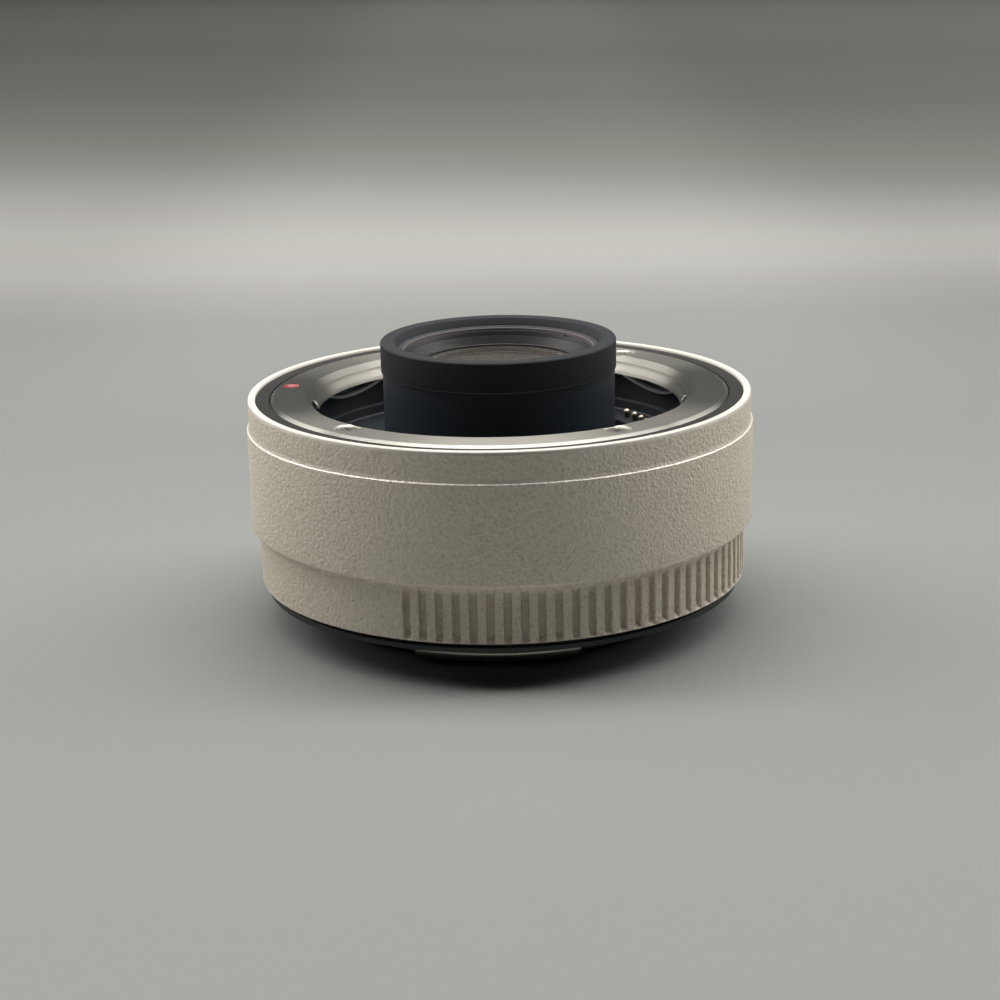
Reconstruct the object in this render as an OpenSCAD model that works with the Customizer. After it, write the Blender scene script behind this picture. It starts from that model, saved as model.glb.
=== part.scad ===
// Short teleconverter for an interchangeable-lens camera.
// It stands on its camera side with the lens side up, and Z is the optical axis.
// Heights start at the lowest face of the rear skirt. Angles run from +X towards +Y.

/* [Barrel] */
// Outer diameter of the white barrel
body_d = 72.8; // [72:0.1:80]
// Length from the camera flange to the lens face
mount_to_mount = 27.2; // [27:0.1:34]
// How far the rear skirt reaches below the camera flange
skirt_depth = 5.6; // [5:0.1:8]
// Height of the white rim above the lens face
rim_lip = 0.1; // [0:0.05:0.4]
// Width of the white rim seen from the lens side
rim_w = 1.05; // [0.9:0.05:1.4]
// Height of the front band above the ledge
front_band_h = 3.9; // [3.6:0.1:4.6]
// Width of the ledge below the front band
ledge_w = 0.3; // [0.1:0.05:0.6]
// Bevel along the turned edges
edge_bevel = 0.25; // [0.1:0.05:0.4]

/* [Grip ring] */
// Height of the grip ring
grip_h = 8.1; // [6:0.1:10]
// How far the grip ring is set in from the barrel
grip_step = 1.2; // [0.8:0.1:1.6]
// Wall of the grip ring
grip_wall = 2.15; // [1.6:0.05:2.6]
// Grooves that would fill a whole turn
groove_turn_count = 96; // [72:1:120]
// Grooves in each of the two ribbed stretches
groove_count = 31; // [20:1:34]
// Angle of the first groove
groove_start = -111.7; // [-130:0.1:-90]
// Width of a groove
groove_w = 0.95; // [0.6:0.05:1.2]
// Depth of a groove
groove_depth = 0.45; // [0.2:0.05:0.6]
// Plain strip above the grooves
groove_land = 0.7; // [0.4:0.1:2]
// Plain strip below the grooves
groove_foot = 0.3; // [0.3:0.1:1]

/* [Lens mount] */
// Width of the black ring between the rim and the steel ring
black_ring_w = 2.05; // [1.8:0.05:2.4]
// Thickness of the steel ring
lens_mount_t = 2.5; // [2:0.1:2.8]
// Width of the steel ring's face, from its outer edge to the throat
lens_face_w = 6; // [5.6:0.1:6.6]
// How far a lug reaches into the throat
lug_reach = 1; // [0.8:0.1:1.6]
// Thickness of a lug
lug_t = 1.75; // [1.4:0.05:1.8]
// Width of each lug as an angle
lug_span = 64; // [56:0.5:68]
// Width of the bevel around the throat
throat_bevel_w = 1.05; // [0.6:0.05:1.2]
// Depth of the bevel around the throat
throat_bevel_h = 0.7; // [0.4:0.05:0.75]
// Angle of the first lug's middle
lug_angle = 28; // [20:1:36]
// Depth of the throat's floor below the lens face
throat_depth = 8.2; // [7.8:0.1:8.6]
// How far the black ring around the steel ring lies below the lens face
black_ring_drop = 0.25; // [0.1:0.05:0.6]
// Angle of the lens index mark
index_angle = 171; // [165:1:178]
// Diameter of the lens index mark
index_d = 2.4; // [1.6:0.1:3]

/* [Lens latch] */
// Angle of the lock pin and of its release slider
lock_angle = 82; // [76:1:86]
// Diameter of the lock pin's shaft
lock_pin_d = 2.2; // [1.8:0.1:2.4]
// How far the lock pin stands above the lens face
lock_reach = 1.6; // [1:0.1:1.8]
// Travel of the release slider
lever_travel = 2; // [1.9:0.1:2.2]
// Width of the slider's finger pad
lever_pad_w = 12; // [10:0.5:14]
// Height of the slider's finger pad
lever_pad_h = 7; // [6.4:0.1:7]

/* [Contacts] */
// Spring pins in the row
pin_count = 10; // [8:1:10]
// Angle between neighbouring pins
pin_pitch = 5.8; // [5.4:0.1:6.2]
// Angle of the first pin
pin_first = 30.7; // [28:0.1:33]
// Distance of the row of pins from the throat's edge
pin_row_inset = 4.8; // [4.6:0.1:5.2]
// Diameter of a pin
pin_d = 0.9; // [0.7:0.05:1]
// Travel of a pin
pin_travel = 0.8; // [0.5:0.05:1]
// How far a pressed pin still stands above its block
pin_proud = 0.45; // [0.05:0.05:0.6]

/* [Lens barrel] */
// How far the rubber ring stands out from the lens barrel
bumper_step = 0.4; // [0.2:0.05:0.8]
// Height of the rubber ring
bumper_h = 4.4; // [4:0.1:5]
// How far the lens barrel stands above the lens face
barrel_reach = 7.5; // [7:0.1:9]
// Width of the flange that is screwed to the chassis
tube_flange_w = 3.1; // [2.8:0.1:3.6]
// Wall of the lens barrel around the front glass
front_cell_wall = 2.95; // [2.6:0.05:3.4]
// Wall of the lens barrel around the rear glasses
rear_cell_wall = 3.35; // [3:0.05:3.8]

/* [Camera mount] */
// How far the flange that meets the camera is set in from the grip ring
camera_flange_inset = 2.7; // [2.4:0.1:3]
// Thickness of the flange
camera_flange_t = 1.6; // [1.4:0.1:2]
// Height of the black gap under the white barrel
flange_reveal = 0.7; // [0.5:0.1:0.9]
// Width of the flange's face, from its outer edge to the neck
camera_face_w = 7.2; // [6.8:0.1:7.6]
// How far the three lugs reach out from the neck
camera_lug_reach = 1.7; // [1.2:0.1:2.2]
// Wall of the neck
camera_neck_wall = 1.5; // [1.2:0.1:1.8]
// Height of the lugs above the skirt's lowest face
lug_clear = 0.9; // [0.5:0.1:1.4]
// Thickness of a camera lug
camera_lug_t = 1.3; // [1:0.1:1.6]
// Width of each camera lug as an angle
camera_lug_span = 51.5; // [40:0.5:56]
// Angle of the camera index mark
camera_index_angle = 110; // [104:1:118]

/* [Clearances] */
// Gap around pieces that are fitted into each other
fit = 0.05; // [0.03:0.01:0.1]
// Gap around pieces that slide
slide_gap = 0.05; // [0.03:0.01:0.08]
// Gap around pieces that only pass each other
free_gap = 0.2; // [0.15:0.05:0.3]

/* [Hidden] */
$fn = 96;
eps = 0.5;

// Heights that the whole stack hangs on
flange_z = skirt_depth;
lens_face_z = flange_z + mount_to_mount;
rim_z = lens_face_z + rim_lip;
ledge_z = rim_z - front_band_h;
white_bottom_z = flange_z + flange_reveal;
grip_top_z = white_bottom_z + grip_h;
seat_z = lens_face_z - lens_mount_t;
throat_floor_z = lens_face_z - throat_depth;
floor_t = 1;

// Radii of the shells
body_r = body_d / 2;
front_band_r = body_r - ledge_w;
rim_bore_r = front_band_r - rim_w;
barrel_shoulder_w = 1.05;
barrel_bore_r = rim_bore_r - barrel_shoulder_w;
chassis_rim_t = 0.5;
barrel_shoulder_z = seat_z - chassis_rim_t;
grip_r = body_r - grip_step;
grip_bore_r = grip_r - grip_wall;

// Steel ring, its screws and what passes through it
lens_mount_r = rim_bore_r - black_ring_w;
throat_r = lens_mount_r - lens_face_w;
lug_throat_r = throat_r - lug_reach;
lug_angles = [for (i = [0 : 2]) lug_angle + 120 * i];
mid_face_r = (throat_r + lens_mount_r) / 2;
lens_screw_inset = 0.4;
lens_screw_r = mid_face_r - lens_screw_inset;
lens_screw_angles = [-134, -58, 49.5, 118];
lens_screw_head_r = 1.6;
lens_screw_head_h = 0.9;
lens_screw_shank_r = 0.75;
lens_screw_sink = 0.15;
lens_screw_bite = 2;
lens_screw_length = lens_mount_t + lens_screw_bite;
index_offset = 0.75;
index_r = mid_face_r + index_offset;
index_t = 0.5;
index_sink = 0.08;

// Camera mount
camera_flange_r = grip_r - camera_flange_inset;
camera_neck_r = camera_flange_r - camera_face_w;
camera_bore_r = camera_neck_r - camera_neck_wall;
camera_lug_r = camera_neck_r + camera_lug_reach;
camera_screw_r = (camera_neck_r + camera_flange_r) / 2;
camera_screw_angles = [37, 127, 217, 307];
camera_screw_head_r = 1.5;
camera_screw_head_h = 0.8;
camera_screw_bite = 1.8;
shim_t = 0.2;
camera_screw_length = camera_flange_t + shim_t + camera_screw_bite;
lock_hole_r = 1.3;
gasket_lip = 0.2;
gasket_drop = 0.8;
gasket_neck_w = 1.3;
gasket_w = 1.9;
camera_dot_r = 1.4;
camera_dot_sink = 0.45;
camera_dot_place_r = grip_r - camera_dot_sink;
camera_dot_height = 3.2;
camera_dot_z = white_bottom_z + camera_dot_height;

// Chassis
chassis_rim_r = rim_bore_r - fit;
chassis_r = barrel_bore_r - fit;
chassis_foot_r = grip_bore_r - fit;
chassis_wall = 1.4;
chassis_bore_r = chassis_foot_r - chassis_wall;
chassis_flange_t = 2.3;
under_floor_h = 4;
web_z = throat_floor_z - floor_t - under_floor_h;
web_t = 1.6;
grip_lip_t = 0.8;
camera_seat_z = flange_z + camera_flange_t;
chassis_bottom_z = camera_seat_z + shim_t;
grip_lip_w = 1;
chassis_boss_r = camera_flange_r - grip_lip_w;
chassis_bottom_t = 2.2;
rear_cover_flange_w = 1;
chassis_bottom_bore_r = camera_bore_r + rear_cover_flange_w + free_gap;

// Throat liner
baffle_wall = 0.8;
baffle_setback = 0.4;
baffle_r = throat_r + baffle_setback + baffle_wall;
baffle_foot_r = 1.2;
baffle_foot_inset = 3.7;
baffle_foot_place_r = baffle_r - baffle_foot_inset;
baffle_foot_angles = [110, 200, 290];

// Leaf springs under the lugs
leaf_t = 0.3;
leaf_bow = 1.3;
leaf_span = 31;
leaf_w = 1.1;

// Latch
lock_pin_r = lock_pin_d / 2;
lock_tip_step = 0.3;
lock_tip_r = lock_pin_r - lock_tip_step;
lock_tip_bevel = 0.2;
lock_place_r = mid_face_r;
arm_t = 1.8;
arm_z = throat_floor_z;
lock_collar_w = 0.4;
lock_collar_r = lock_pin_r + lock_collar_w;
lock_collar_h = 0.6;
neck_w = 8;
neck_root = 2;
pad_t = 1.1;
pad_drop = 0.4;
pad_z = arm_z + arm_t / 2 - lever_pad_h / 2 - pad_drop;
pad_sink = 0.1;
pad_r = body_r - pad_sink;
pocket_r = pad_r - pad_t - free_gap;
pad_rib_count = 5;
spring_seat_r = 2;
spring_seat_h = 0.5;
spring_post_r = 0.9;
spring_post_h = 1.2;
lever_spring_r = 1.4;
lever_spring_wire_r = 0.15;
lever_spring_turns = 5;

// Contacts
pin_angles = [for (i = [0 : pin_count - 1]) pin_first - pin_pitch * i];
pin_r = pin_d / 2;
row_middle = pin_first - pin_pitch * (pin_count - 1) / 2;
row_half = pin_pitch * (pin_count - 1) / 2;
block_end = 5;
block_half = row_half + block_end;
block_w = 4.4;
pin_row_r = throat_r - pin_row_inset;
block_in_r = pin_row_r - block_w / 2;
block_out_r = pin_row_r + block_w / 2;
block_proud = 0.8;
block_top_z = throat_floor_z + block_proud;
block_floor_t = 0.8;
ear_span = 11;
ear_half = block_half + ear_span;
ear_angles = [for (side = [-1, 1]) row_middle + side * (block_half + ear_span / 2)];
ear_t = 1.6;
pin_hole_h = 1;
pin_collar_w = 0.2;
pin_collar_r = pin_r + pin_collar_w;
pin_collar_h = 0.8;
pin_stop_gap = 0.1;
pin_collar_top_z = block_top_z - pin_hole_h - pin_stop_gap;
pin_bore_r = pin_collar_r + 2 * slide_gap;
pin_spring_z = web_z + block_floor_t;
pin_spring_wire_r = 0.1;
pin_spring_r = pin_collar_r - pin_spring_wire_r;
pin_spring_turns = 4;
rear_block_h = 6.4;
rear_row_inset = 1.6;
rear_row_r = camera_bore_r - rear_row_inset;
rear_block_in_r = rear_row_r - block_w / 2;
rear_block_out_r = camera_bore_r - free_gap;
pad_depth = 0.4;
pad_recess = 0.1;
rear_block_end = 9.2;
rear_block_half = row_half + rear_block_end;
rear_screw_offset = 0.4;
rear_screw_r = rear_row_r - rear_screw_offset;
rear_screw_margin = 1.3;
rear_screw_half = rear_block_half - asin(rear_screw_margin / rear_screw_r);
rear_screw_angles = [for (side = [-1, 1]) row_middle + side * rear_screw_half];
rear_screw_sink = 0.2;
rear_screw_bite = 0.8;
contact_pad_half = 1.9;
pad_gap_angle = 0.1;
contact_pad_l = 2.4;

// Lens barrel and the glass
tube_block_gap = 0.4;
tube_flange_r = block_in_r - tube_block_gap;
tube_r = tube_flange_r - tube_flange_w;
bumper_r = tube_r + bumper_step;
front_glass_r = tube_r - front_cell_wall;
rear_glass_r = tube_r - rear_cell_wall;
barrel_top_z = lens_face_z + barrel_reach;
bumper_z = barrel_top_z - bumper_h;
bumper_seat_w = 1.3;
bumper_lip_t = 1.1;
spigot_r = tube_r - bumper_seat_w;
spigot_z = barrel_top_z - bumper_lip_t;
bumper_lip_gap = 0.75;
bumper_lip_r = front_glass_r + bumper_lip_gap;
tube_flange_t = 1.6;
tube_screw_r = tube_r + tube_flange_w / 2;
tube_screw_angles = [90, 210, 330];
front_bore_r = front_glass_r + fit;
rear_bore_r = rear_glass_r + fit;
shoulder_w = 1.2;
glass_shoulder_depth = 7.3;
glass_shoulder_z = barrel_top_z - glass_shoulder_depth;
front_rim_t = 3.6;
front_retainer_h = 2;
retainer_w = 0.8;
front_lip_w = 3.35;
front_lip_h = 0.95;
front_lip_t = 0.45;
doublet_front_t = 3.2;
doublet_rear_t = 6;
spacer_h = 4.8;
fourth_t = 4.2;
rear_element_t = 3.8;
rear_retainer_h = 1.9;
doublet_z = glass_shoulder_z - shoulder_w;
cemented_z = doublet_z - doublet_front_t;
spacer_z = cemented_z - doublet_rear_t;
fourth_z = spacer_z - spacer_h;
rear_element_z = fourth_z - fourth_t;
rear_retainer_z = rear_element_z - rear_element_t;
tube_rear_lip = 1.9;
tube_z = rear_retainer_z - rear_retainer_h - tube_rear_lip;
lens_land = 1.25;
front_face_radius = 70;
front_back_radius = -60;
doublet_face_radius = 60;
cemented_radius = 35;
cement_t = 0.02;
doublet_back_radius = -60;
fourth_face_radius = -45;
fourth_back_radius = -50;
rear_face_radius = 60;
rear_back_radius = 90;

// Electronics
board_t = 1;
standoff_h = 1.2;
standoff_r = 1.8;
board_z = web_z - web_t - standoff_h - board_t;
board_gap = 0.8;
board_in_r = tube_r + 2 * board_gap;
board_out_r = chassis_bore_r - board_gap;
board_screw_inset = 2.4;
board_screw_r = board_out_r - board_screw_inset;
board_screw_angles = [75, 165, 285];
small_screw_head_r = 1.1;
small_screw_head_h = 0.8;
small_screw_r = 0.6;
flex_t = 0.25;
flex_slot_gap = 0.5;
front_flex_half = 12;
rear_flex_half = 9;
rear_flex_offset = 0.6;
rear_flex_r = rear_row_r + rear_flex_offset;
chip_sizes = [[9, 7, 1.1], [6, 6, 0.9], [5, 3.5, 1]];
chip_angles = [120, 205, 250];

// Rear cover
rear_cover_r = camera_bore_r - 2 * fit;
rear_cover_wall = 1.5;
rear_plate_t = 1.2;
rear_plate_z = 1.4;
rear_cover_flange_r = camera_bore_r + rear_cover_flange_w;
rear_cover_flange_t = 1;
window_rib = 5;
window_margin = 11.7;
window_w = 2 * (rear_block_in_r - window_rib);
window_h = 2 * (rear_cover_r - rear_cover_wall - window_margin);
window_corner_r = 3;

ring_names = [
    "main_barrel", "grip_ring", "rear_index_dot", "chassis",
    "lens_mount", "lens_mount_screws", "front_index_dot", "mount_springs", "front_baffle",
    "contact_block", "contact_block_screws",
    "release_lever", "lock_pin", "lever_spring", "spring_seat",
    "circuit_board", "board_chips", "board_screws", "front_flex", "rear_flex",
    "lens_tube", "tube_screws", "rubber_bumper", "front_retainer",
    "front_element", "doublet_front", "doublet_rear", "spacer_ring",
    "fourth_element", "rear_element", "rear_retainer",
    "mount_shim", "camera_mount", "camera_mount_screws", "mount_gasket",
    "rear_baffle", "rear_contact_block", "rear_contact_pads", "rear_contact_screws"
];

// Places its children at a radius and an angle.
module polar(r, a) {
    rotate([0, 0, a]) translate([r, 0, 0]) children();
}

// A plain ring between two radii and two heights.
module ring(r_in, r_out, z0, z1) {
    rotate_extrude() translate([r_in, z0]) square([r_out - r_in, z1 - z0]);
}

// Part of a ring, to both sides of a middle angle.
module arc_block(r_in, r_out, middle, half, z0, z1) {
    rotate([0, 0, middle - half])
        rotate_extrude(angle = 2 * half)
            translate([r_in, z0]) square([r_out - r_in, z1 - z0]);
}

// A cylinder between two heights.
module rod(r, z0, z1) {
    translate([0, 0, z0]) cylinder(r = r, h = z1 - z0);
}

// A small screw with a flat cheese head: its seat is at height z and its head points up.
module cheese_screw(z, length) {
    difference() {
        union() {
            rod(small_screw_head_r, z, z + small_screw_head_h);
            rod(small_screw_r, z - length, z + eps / 2);
        }
        cross_recess(z + small_screw_head_h, small_screw_head_r);
    }
}

// The cross that a driver turns, cut into a screw head whose top is at height z.
module cross_recess(z, head_r) {
    slot_l = 1.3 * head_r;
    slot_w = 0.3 * head_r;
    slot_depth = 0.4;
    for (a = [0, 90])
        rotate([0, 0, a])
            translate([-slot_l / 2, -slot_w / 2, z - slot_depth])
                cube([slot_l, slot_w, slot_depth + eps]);
}

// A coil spring of round wire between two heights, wound as one unbroken tube.
module coil_spring(coil_r, wire_r, turns, z0, z1) {
    sides = 6;
    steps = 8 * turns;
    rise = z1 - z0 - 2 * wire_r;
    points = [
        for (i = [0 : steps], k = [0 : sides - 1])
            let (turn = 360 * turns * i / steps)
            let (around = 360 * k / sides)
            let (r = coil_r + wire_r * cos(around))
            [r * cos(turn), r * sin(turn), z0 + wire_r + rise * i / steps + wire_r * sin(around)]
    ];
    wall = [
        for (i = [0 : steps - 1], k = [0 : sides - 1], half = [0, 1])
            let (a = i * sides + k)
            let (b = i * sides + (k + 1) % sides)
            half == 0 ? [a, b, b + sides] : [a, b + sides, a + sides]
    ];
    first_end = [for (k = [1 : sides - 2]) [0, k + 1, k]];
    last = steps * sides;
    last_end = [for (k = [1 : sides - 2]) [last, last + k, last + k + 1]];
    polyhedron(points, concat(wall, first_end, last_end));
}

// Height of a ball face of the given radius over a disc of radius r.
function sag(r, radius) = radius - sqrt(radius * radius - r * r);

// The bulging cap of a lens face, on a flat disc at height z.
module lens_cap(r, z, radius) {
    translate([0, 0, z])
        intersection() {
            rod(r, -lens_land, sag(r, radius) + eps);
            translate([0, 0, sag(r, radius) - radius]) sphere(r = radius);
        }
}

// A lens whose rim runs between two heights. Each face is part of a ball inside a flat land.
// A positive radius bulges out of the rim, a negative one is hollowed into it, zero is flat.
module lens(r, z0, z1, top_radius, bottom_radius) {
    face_r = r - lens_land;
    $fn = 360;
    difference() {
        union() {
            rod(r, z0, z1);
            if (top_radius > 0)
                lens_cap(face_r, z1, top_radius);
            if (bottom_radius > 0)
                translate([0, 0, z0]) mirror([0, 0, 1]) lens_cap(face_r, 0, bottom_radius);
        }
        if (top_radius < 0)
            translate([0, 0, z1 - top_radius - sag(face_r, -top_radius)]) sphere(r = -top_radius);
        if (bottom_radius < 0)
            translate([0, 0, z0 + bottom_radius + sag(face_r, -bottom_radius)])
                sphere(r = -bottom_radius);
    }
}

// White outer shell with its front band, ledge, rim and the pocket of the release slider.
module main_barrel() {
    wall_z = arm_z - lever_travel - free_gap;
    pocket_z = pad_z - lever_travel - free_gap;
    pocket_h = lever_pad_h + lever_travel + 2 * free_gap;
    color("ivory")
        difference() {
            rotate_extrude()
                polygon([
                    [barrel_bore_r, grip_top_z],
                    [body_r - 2 * edge_bevel, grip_top_z],
                    [body_r, grip_top_z + 2 * edge_bevel],
                    [body_r, ledge_z - edge_bevel / 2],
                    [body_r - edge_bevel / 2, ledge_z],
                    [front_band_r, ledge_z],
                    [front_band_r, rim_z - edge_bevel],
                    [front_band_r - edge_bevel, rim_z],
                    [rim_bore_r + edge_bevel, rim_z],
                    [rim_bore_r, rim_z - edge_bevel],
                    [rim_bore_r, barrel_shoulder_z],
                    [barrel_bore_r, barrel_shoulder_z]
                ]);
            rotate([0, 0, lock_angle]) {
                intersection() {
                    ring(pocket_r, body_r + eps, pocket_z, pocket_z + pocket_h);
                    translate([0, -lever_pad_w / 2 - free_gap, pocket_z])
                        cube([body_r + eps, lever_pad_w + 2 * free_gap, pocket_h]);
                }
                translate([barrel_bore_r - 4 * eps, -neck_w / 2 - free_gap, wall_z])
                    cube([body_r, neck_w + 2 * free_gap, arm_t + lever_travel + 2 * free_gap]);
            }
        }
}

// White grip ring with two ribbed stretches and a lip that the camera flange clamps.
module grip_ring() {
    cut_r = (groove_w * groove_w / 4 + groove_depth * groove_depth) / (2 * groove_depth);
    groove_pitch = 360 / groove_turn_count;
    groove_run = 1;
    groove_top_z = grip_top_z - groove_land - groove_run;
    lip_r = chassis_boss_r + fit;
    lip_z = camera_seat_z;
    color("ivory")
        difference() {
            rotate_extrude()
                polygon([
                    [camera_flange_r + fit, white_bottom_z],
                    [grip_r - edge_bevel, white_bottom_z],
                    [grip_r, white_bottom_z + edge_bevel],
                    [grip_r, grip_top_z],
                    [grip_bore_r, grip_top_z],
                    [grip_bore_r, lip_z + grip_lip_t],
                    [lip_r, lip_z + grip_lip_t],
                    [lip_r, lip_z],
                    [camera_flange_r + fit, lip_z]
                ]);
            for (side = [0, 180], i = [0 : groove_count - 1])
                polar(grip_r + cut_r - groove_depth, groove_start + side + groove_pitch * i) {
                    rod(cut_r, white_bottom_z + groove_foot, groove_top_z);
                    translate([0, 0, groove_top_z]) cylinder(r1 = cut_r, r2 = cut_r / 3, h = groove_run);
                }
            polar(camera_dot_place_r, camera_index_angle)
                translate([0, 0, camera_dot_z]) sphere(r = camera_dot_r + fit);
        }
}

// Red raised bead that lines up with the camera's own mark.
module rear_index_dot() {
    color("crimson")
        polar(camera_dot_place_r, camera_index_angle)
            translate([0, 0, camera_dot_z]) sphere(r = camera_dot_r);
}

// Black inner frame: it carries both mounts, the lens barrel and the electronics.
module chassis() {
    seat_r = lens_mount_r + 2 * fit;
    flange_bore_r = baffle_r + free_gap;
    foot_z = camera_seat_z + grip_lip_t;
    tube_hole_r = tube_r + free_gap;
    flange_under_z = seat_z - chassis_flange_t;
    standoff_z = web_z - web_t - standoff_h;
    color("#2b2a28")
        difference() {
            union() {
                rotate_extrude()
                    polygon([
                        [chassis_bottom_bore_r, chassis_bottom_z],
                        [chassis_boss_r, chassis_bottom_z],
                        [chassis_boss_r, foot_z],
                        [chassis_foot_r, foot_z],
                        [chassis_foot_r, grip_top_z],
                        [chassis_r, grip_top_z],
                        [chassis_r, barrel_shoulder_z],
                        [chassis_rim_r, barrel_shoulder_z],
                        [chassis_rim_r, lens_face_z - black_ring_drop],
                        [seat_r, lens_face_z - black_ring_drop],
                        [seat_r, seat_z],
                        [flange_bore_r, seat_z],
                        [flange_bore_r, flange_under_z],
                        [chassis_bore_r, flange_under_z],
                        [chassis_bore_r, web_z],
                        [tube_hole_r, web_z],
                        [tube_hole_r, web_z - web_t],
                        [chassis_bore_r, web_z - web_t],
                        [chassis_bore_r, chassis_bottom_z + chassis_bottom_t],
                        [chassis_bottom_bore_r, chassis_bottom_z + chassis_bottom_t]
                    ]);
                for (a = board_screw_angles)
                    polar(board_screw_r, a) rod(standoff_r, standoff_z, web_z - web_t + eps / 2);
            }
            for (a = lens_screw_angles)
                polar(lens_screw_r, a) rod(lens_screw_shank_r, flange_under_z - eps, seat_z + eps);
            polar(lock_place_r, lock_angle)
                rod(lock_pin_r + slide_gap, flange_under_z - eps, seat_z + eps);
            for (a = camera_screw_angles)
                polar(camera_screw_r, a)
                    rod(small_screw_r, chassis_bottom_z - eps, chassis_bottom_z + chassis_bottom_t + eps);
            for (a = tube_screw_angles)
                polar(tube_screw_r, a) rod(small_screw_r, web_z - web_t - eps, web_z + eps);
            for (a = board_screw_angles)
                polar(board_screw_r, a) rod(small_screw_r, standoff_z - eps, web_z - web_t);
            for (a = ear_angles)
                polar(pin_row_r, a) rod(small_screw_r, web_z - web_t - eps, web_z + eps);
            polar(lock_place_r, lock_angle) rod(spring_post_r + fit, web_z - web_t - eps, web_z + eps);
            arc_block(
                pin_row_r - flex_slot_gap, pin_row_r + flex_t + flex_slot_gap,
                row_middle, front_flex_half + 1, web_z - web_t - eps, web_z + eps
            );
            rotate([0, 0, lock_angle])
                translate([chassis_bore_r - 1, -neck_w / 2 - slide_gap, arm_z - lever_travel - free_gap])
                    cube([body_r, neck_w + 2 * slide_gap, arm_t + lever_travel + 2 * free_gap]);
        }
}

// Steel ring that a lens locks into: three lugs, screw holes and the hole of the lock pin.
module lens_mount() {
    lug_top_z = seat_z + lug_t;
    color("silver")
        difference() {
            union() {
                rotate_extrude()
                    polygon([
                        [throat_r, seat_z],
                        [lens_mount_r, seat_z],
                        [lens_mount_r, lens_face_z - edge_bevel],
                        [lens_mount_r - edge_bevel, lens_face_z],
                        [throat_r + throat_bevel_w, lens_face_z],
                        [throat_r, lens_face_z - throat_bevel_h]
                    ]);
                for (a = lug_angles)
                    arc_block(lug_throat_r, throat_r + eps, a, lug_span / 2, seat_z, lug_top_z);
            }
            for (a = lens_screw_angles)
                polar(lens_screw_r, a) {
                    rod(lens_screw_shank_r + fit, seat_z - eps, lens_face_z + eps);
                    translate([0, 0, lens_face_z - lens_screw_sink - lens_screw_head_h])
                        cylinder(
                            r1 = lens_screw_shank_r + fit, r2 = lens_screw_head_r + fit,
                            h = lens_screw_head_h
                        );
                    rod(lens_screw_head_r + fit, lens_face_z - lens_screw_sink, lens_face_z + eps);
                }
            polar(lock_place_r, lock_angle) rod(lock_pin_r + slide_gap, seat_z - eps, lens_face_z + eps);
            polar(index_r, index_angle) rod(index_d / 2 + fit, lens_face_z - index_t, lens_face_z + eps);
        }
}

// Four countersunk screws through the steel ring.
module lens_mount_screws() {
    head_z = lens_face_z - lens_screw_sink;
    color("silver")
        for (a = lens_screw_angles)
            polar(lens_screw_r, a)
                difference() {
                    union() {
                        translate([0, 0, head_z - lens_screw_head_h])
                            cylinder(r1 = lens_screw_shank_r, r2 = lens_screw_head_r, h = lens_screw_head_h);
                        translate([0, 0, head_z - lens_screw_length])
                            cylinder(r = lens_screw_shank_r - fit, h = lens_screw_length - lens_screw_head_h);
                    }
                    cross_recess(head_z, lens_screw_head_r);
                }
}

// Red mark set into the steel ring.
module front_index_dot() {
    color("crimson")
        polar(index_r, index_angle) rod(index_d / 2, lens_face_z - index_t, lens_face_z - index_sink);
}

// Three blackened leaf springs under the lugs. They pull the lens onto the ring.
module mount_springs() {
    half_l = lug_throat_r * sin(leaf_span / 2);
    bow_radius = (half_l * half_l + leaf_bow * leaf_bow) / (2 * leaf_bow);
    leaf_in_r = throat_r - leaf_w;
    color("#3a3a3a")
        for (a = lug_angles)
            rotate([0, 0, a])
                intersection() {
                    translate([0, 0, seat_z - bow_radius - leaf_bow])
                        ring(leaf_in_r, throat_r - fit, 0, bow_radius + leaf_bow);
                    translate([0, 0, seat_z - leaf_bow + bow_radius])
                        rotate([0, 90, 0])
                            difference() {
                                cylinder(r = bow_radius, h = body_r, $fn = 180);
                                cylinder(r = bow_radius - leaf_t, h = 3 * body_r, center = true, $fn = 180);
                            }
                }
}

// Black liner of the throat: its wall, its floor around the lens barrel and three feet.
module front_baffle() {
    wall_in_r = baffle_r - baffle_wall;
    floor_in_r = tube_r + 2 * free_gap;
    block_gap = 0.15;
    gap_angle = 0.5;
    color("#1c1c1e")
        difference() {
            union() {
                rotate_extrude()
                    polygon([
                        [floor_in_r, throat_floor_z - floor_t],
                        [baffle_r, throat_floor_z - floor_t],
                        [baffle_r, seat_z],
                        [wall_in_r, seat_z],
                        [wall_in_r, throat_floor_z],
                        [floor_in_r, throat_floor_z]
                    ]);
                for (a = baffle_foot_angles)
                    polar(baffle_foot_place_r, a)
                        rod(baffle_foot_r, web_z, throat_floor_z - floor_t / 2);
            }
            arc_block(
                block_in_r - block_gap, block_out_r + block_gap, row_middle, block_half + gap_angle,
                throat_floor_z - floor_t - eps, throat_floor_z + eps
            );
        }
}

// Moulded block that guides the spring pins.
module contact_block() {
    color("#17171a")
        difference() {
            union() {
                arc_block(block_in_r, block_out_r, row_middle, block_half, web_z, block_top_z);
                arc_block(block_in_r, block_out_r, row_middle, ear_half, web_z, web_z + ear_t);
            }
            for (a = pin_angles)
                polar(pin_row_r, a) {
                    rod(pin_r + slide_gap, web_z + block_floor_t, block_top_z + eps);
                    rod(pin_bore_r, web_z + block_floor_t, block_top_z - pin_hole_h);
                }
            for (a = ear_angles)
                polar(pin_row_r, a) rod(small_screw_r + fit, web_z - eps, web_z + ear_t + eps);
        }
}

// Two screws that hold the contact block.
module contact_block_screws() {
    color("silver")
        for (a = ear_angles)
            polar(pin_row_r, a) cheese_screw(web_z + ear_t, ear_t + web_t - fit);
}

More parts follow.
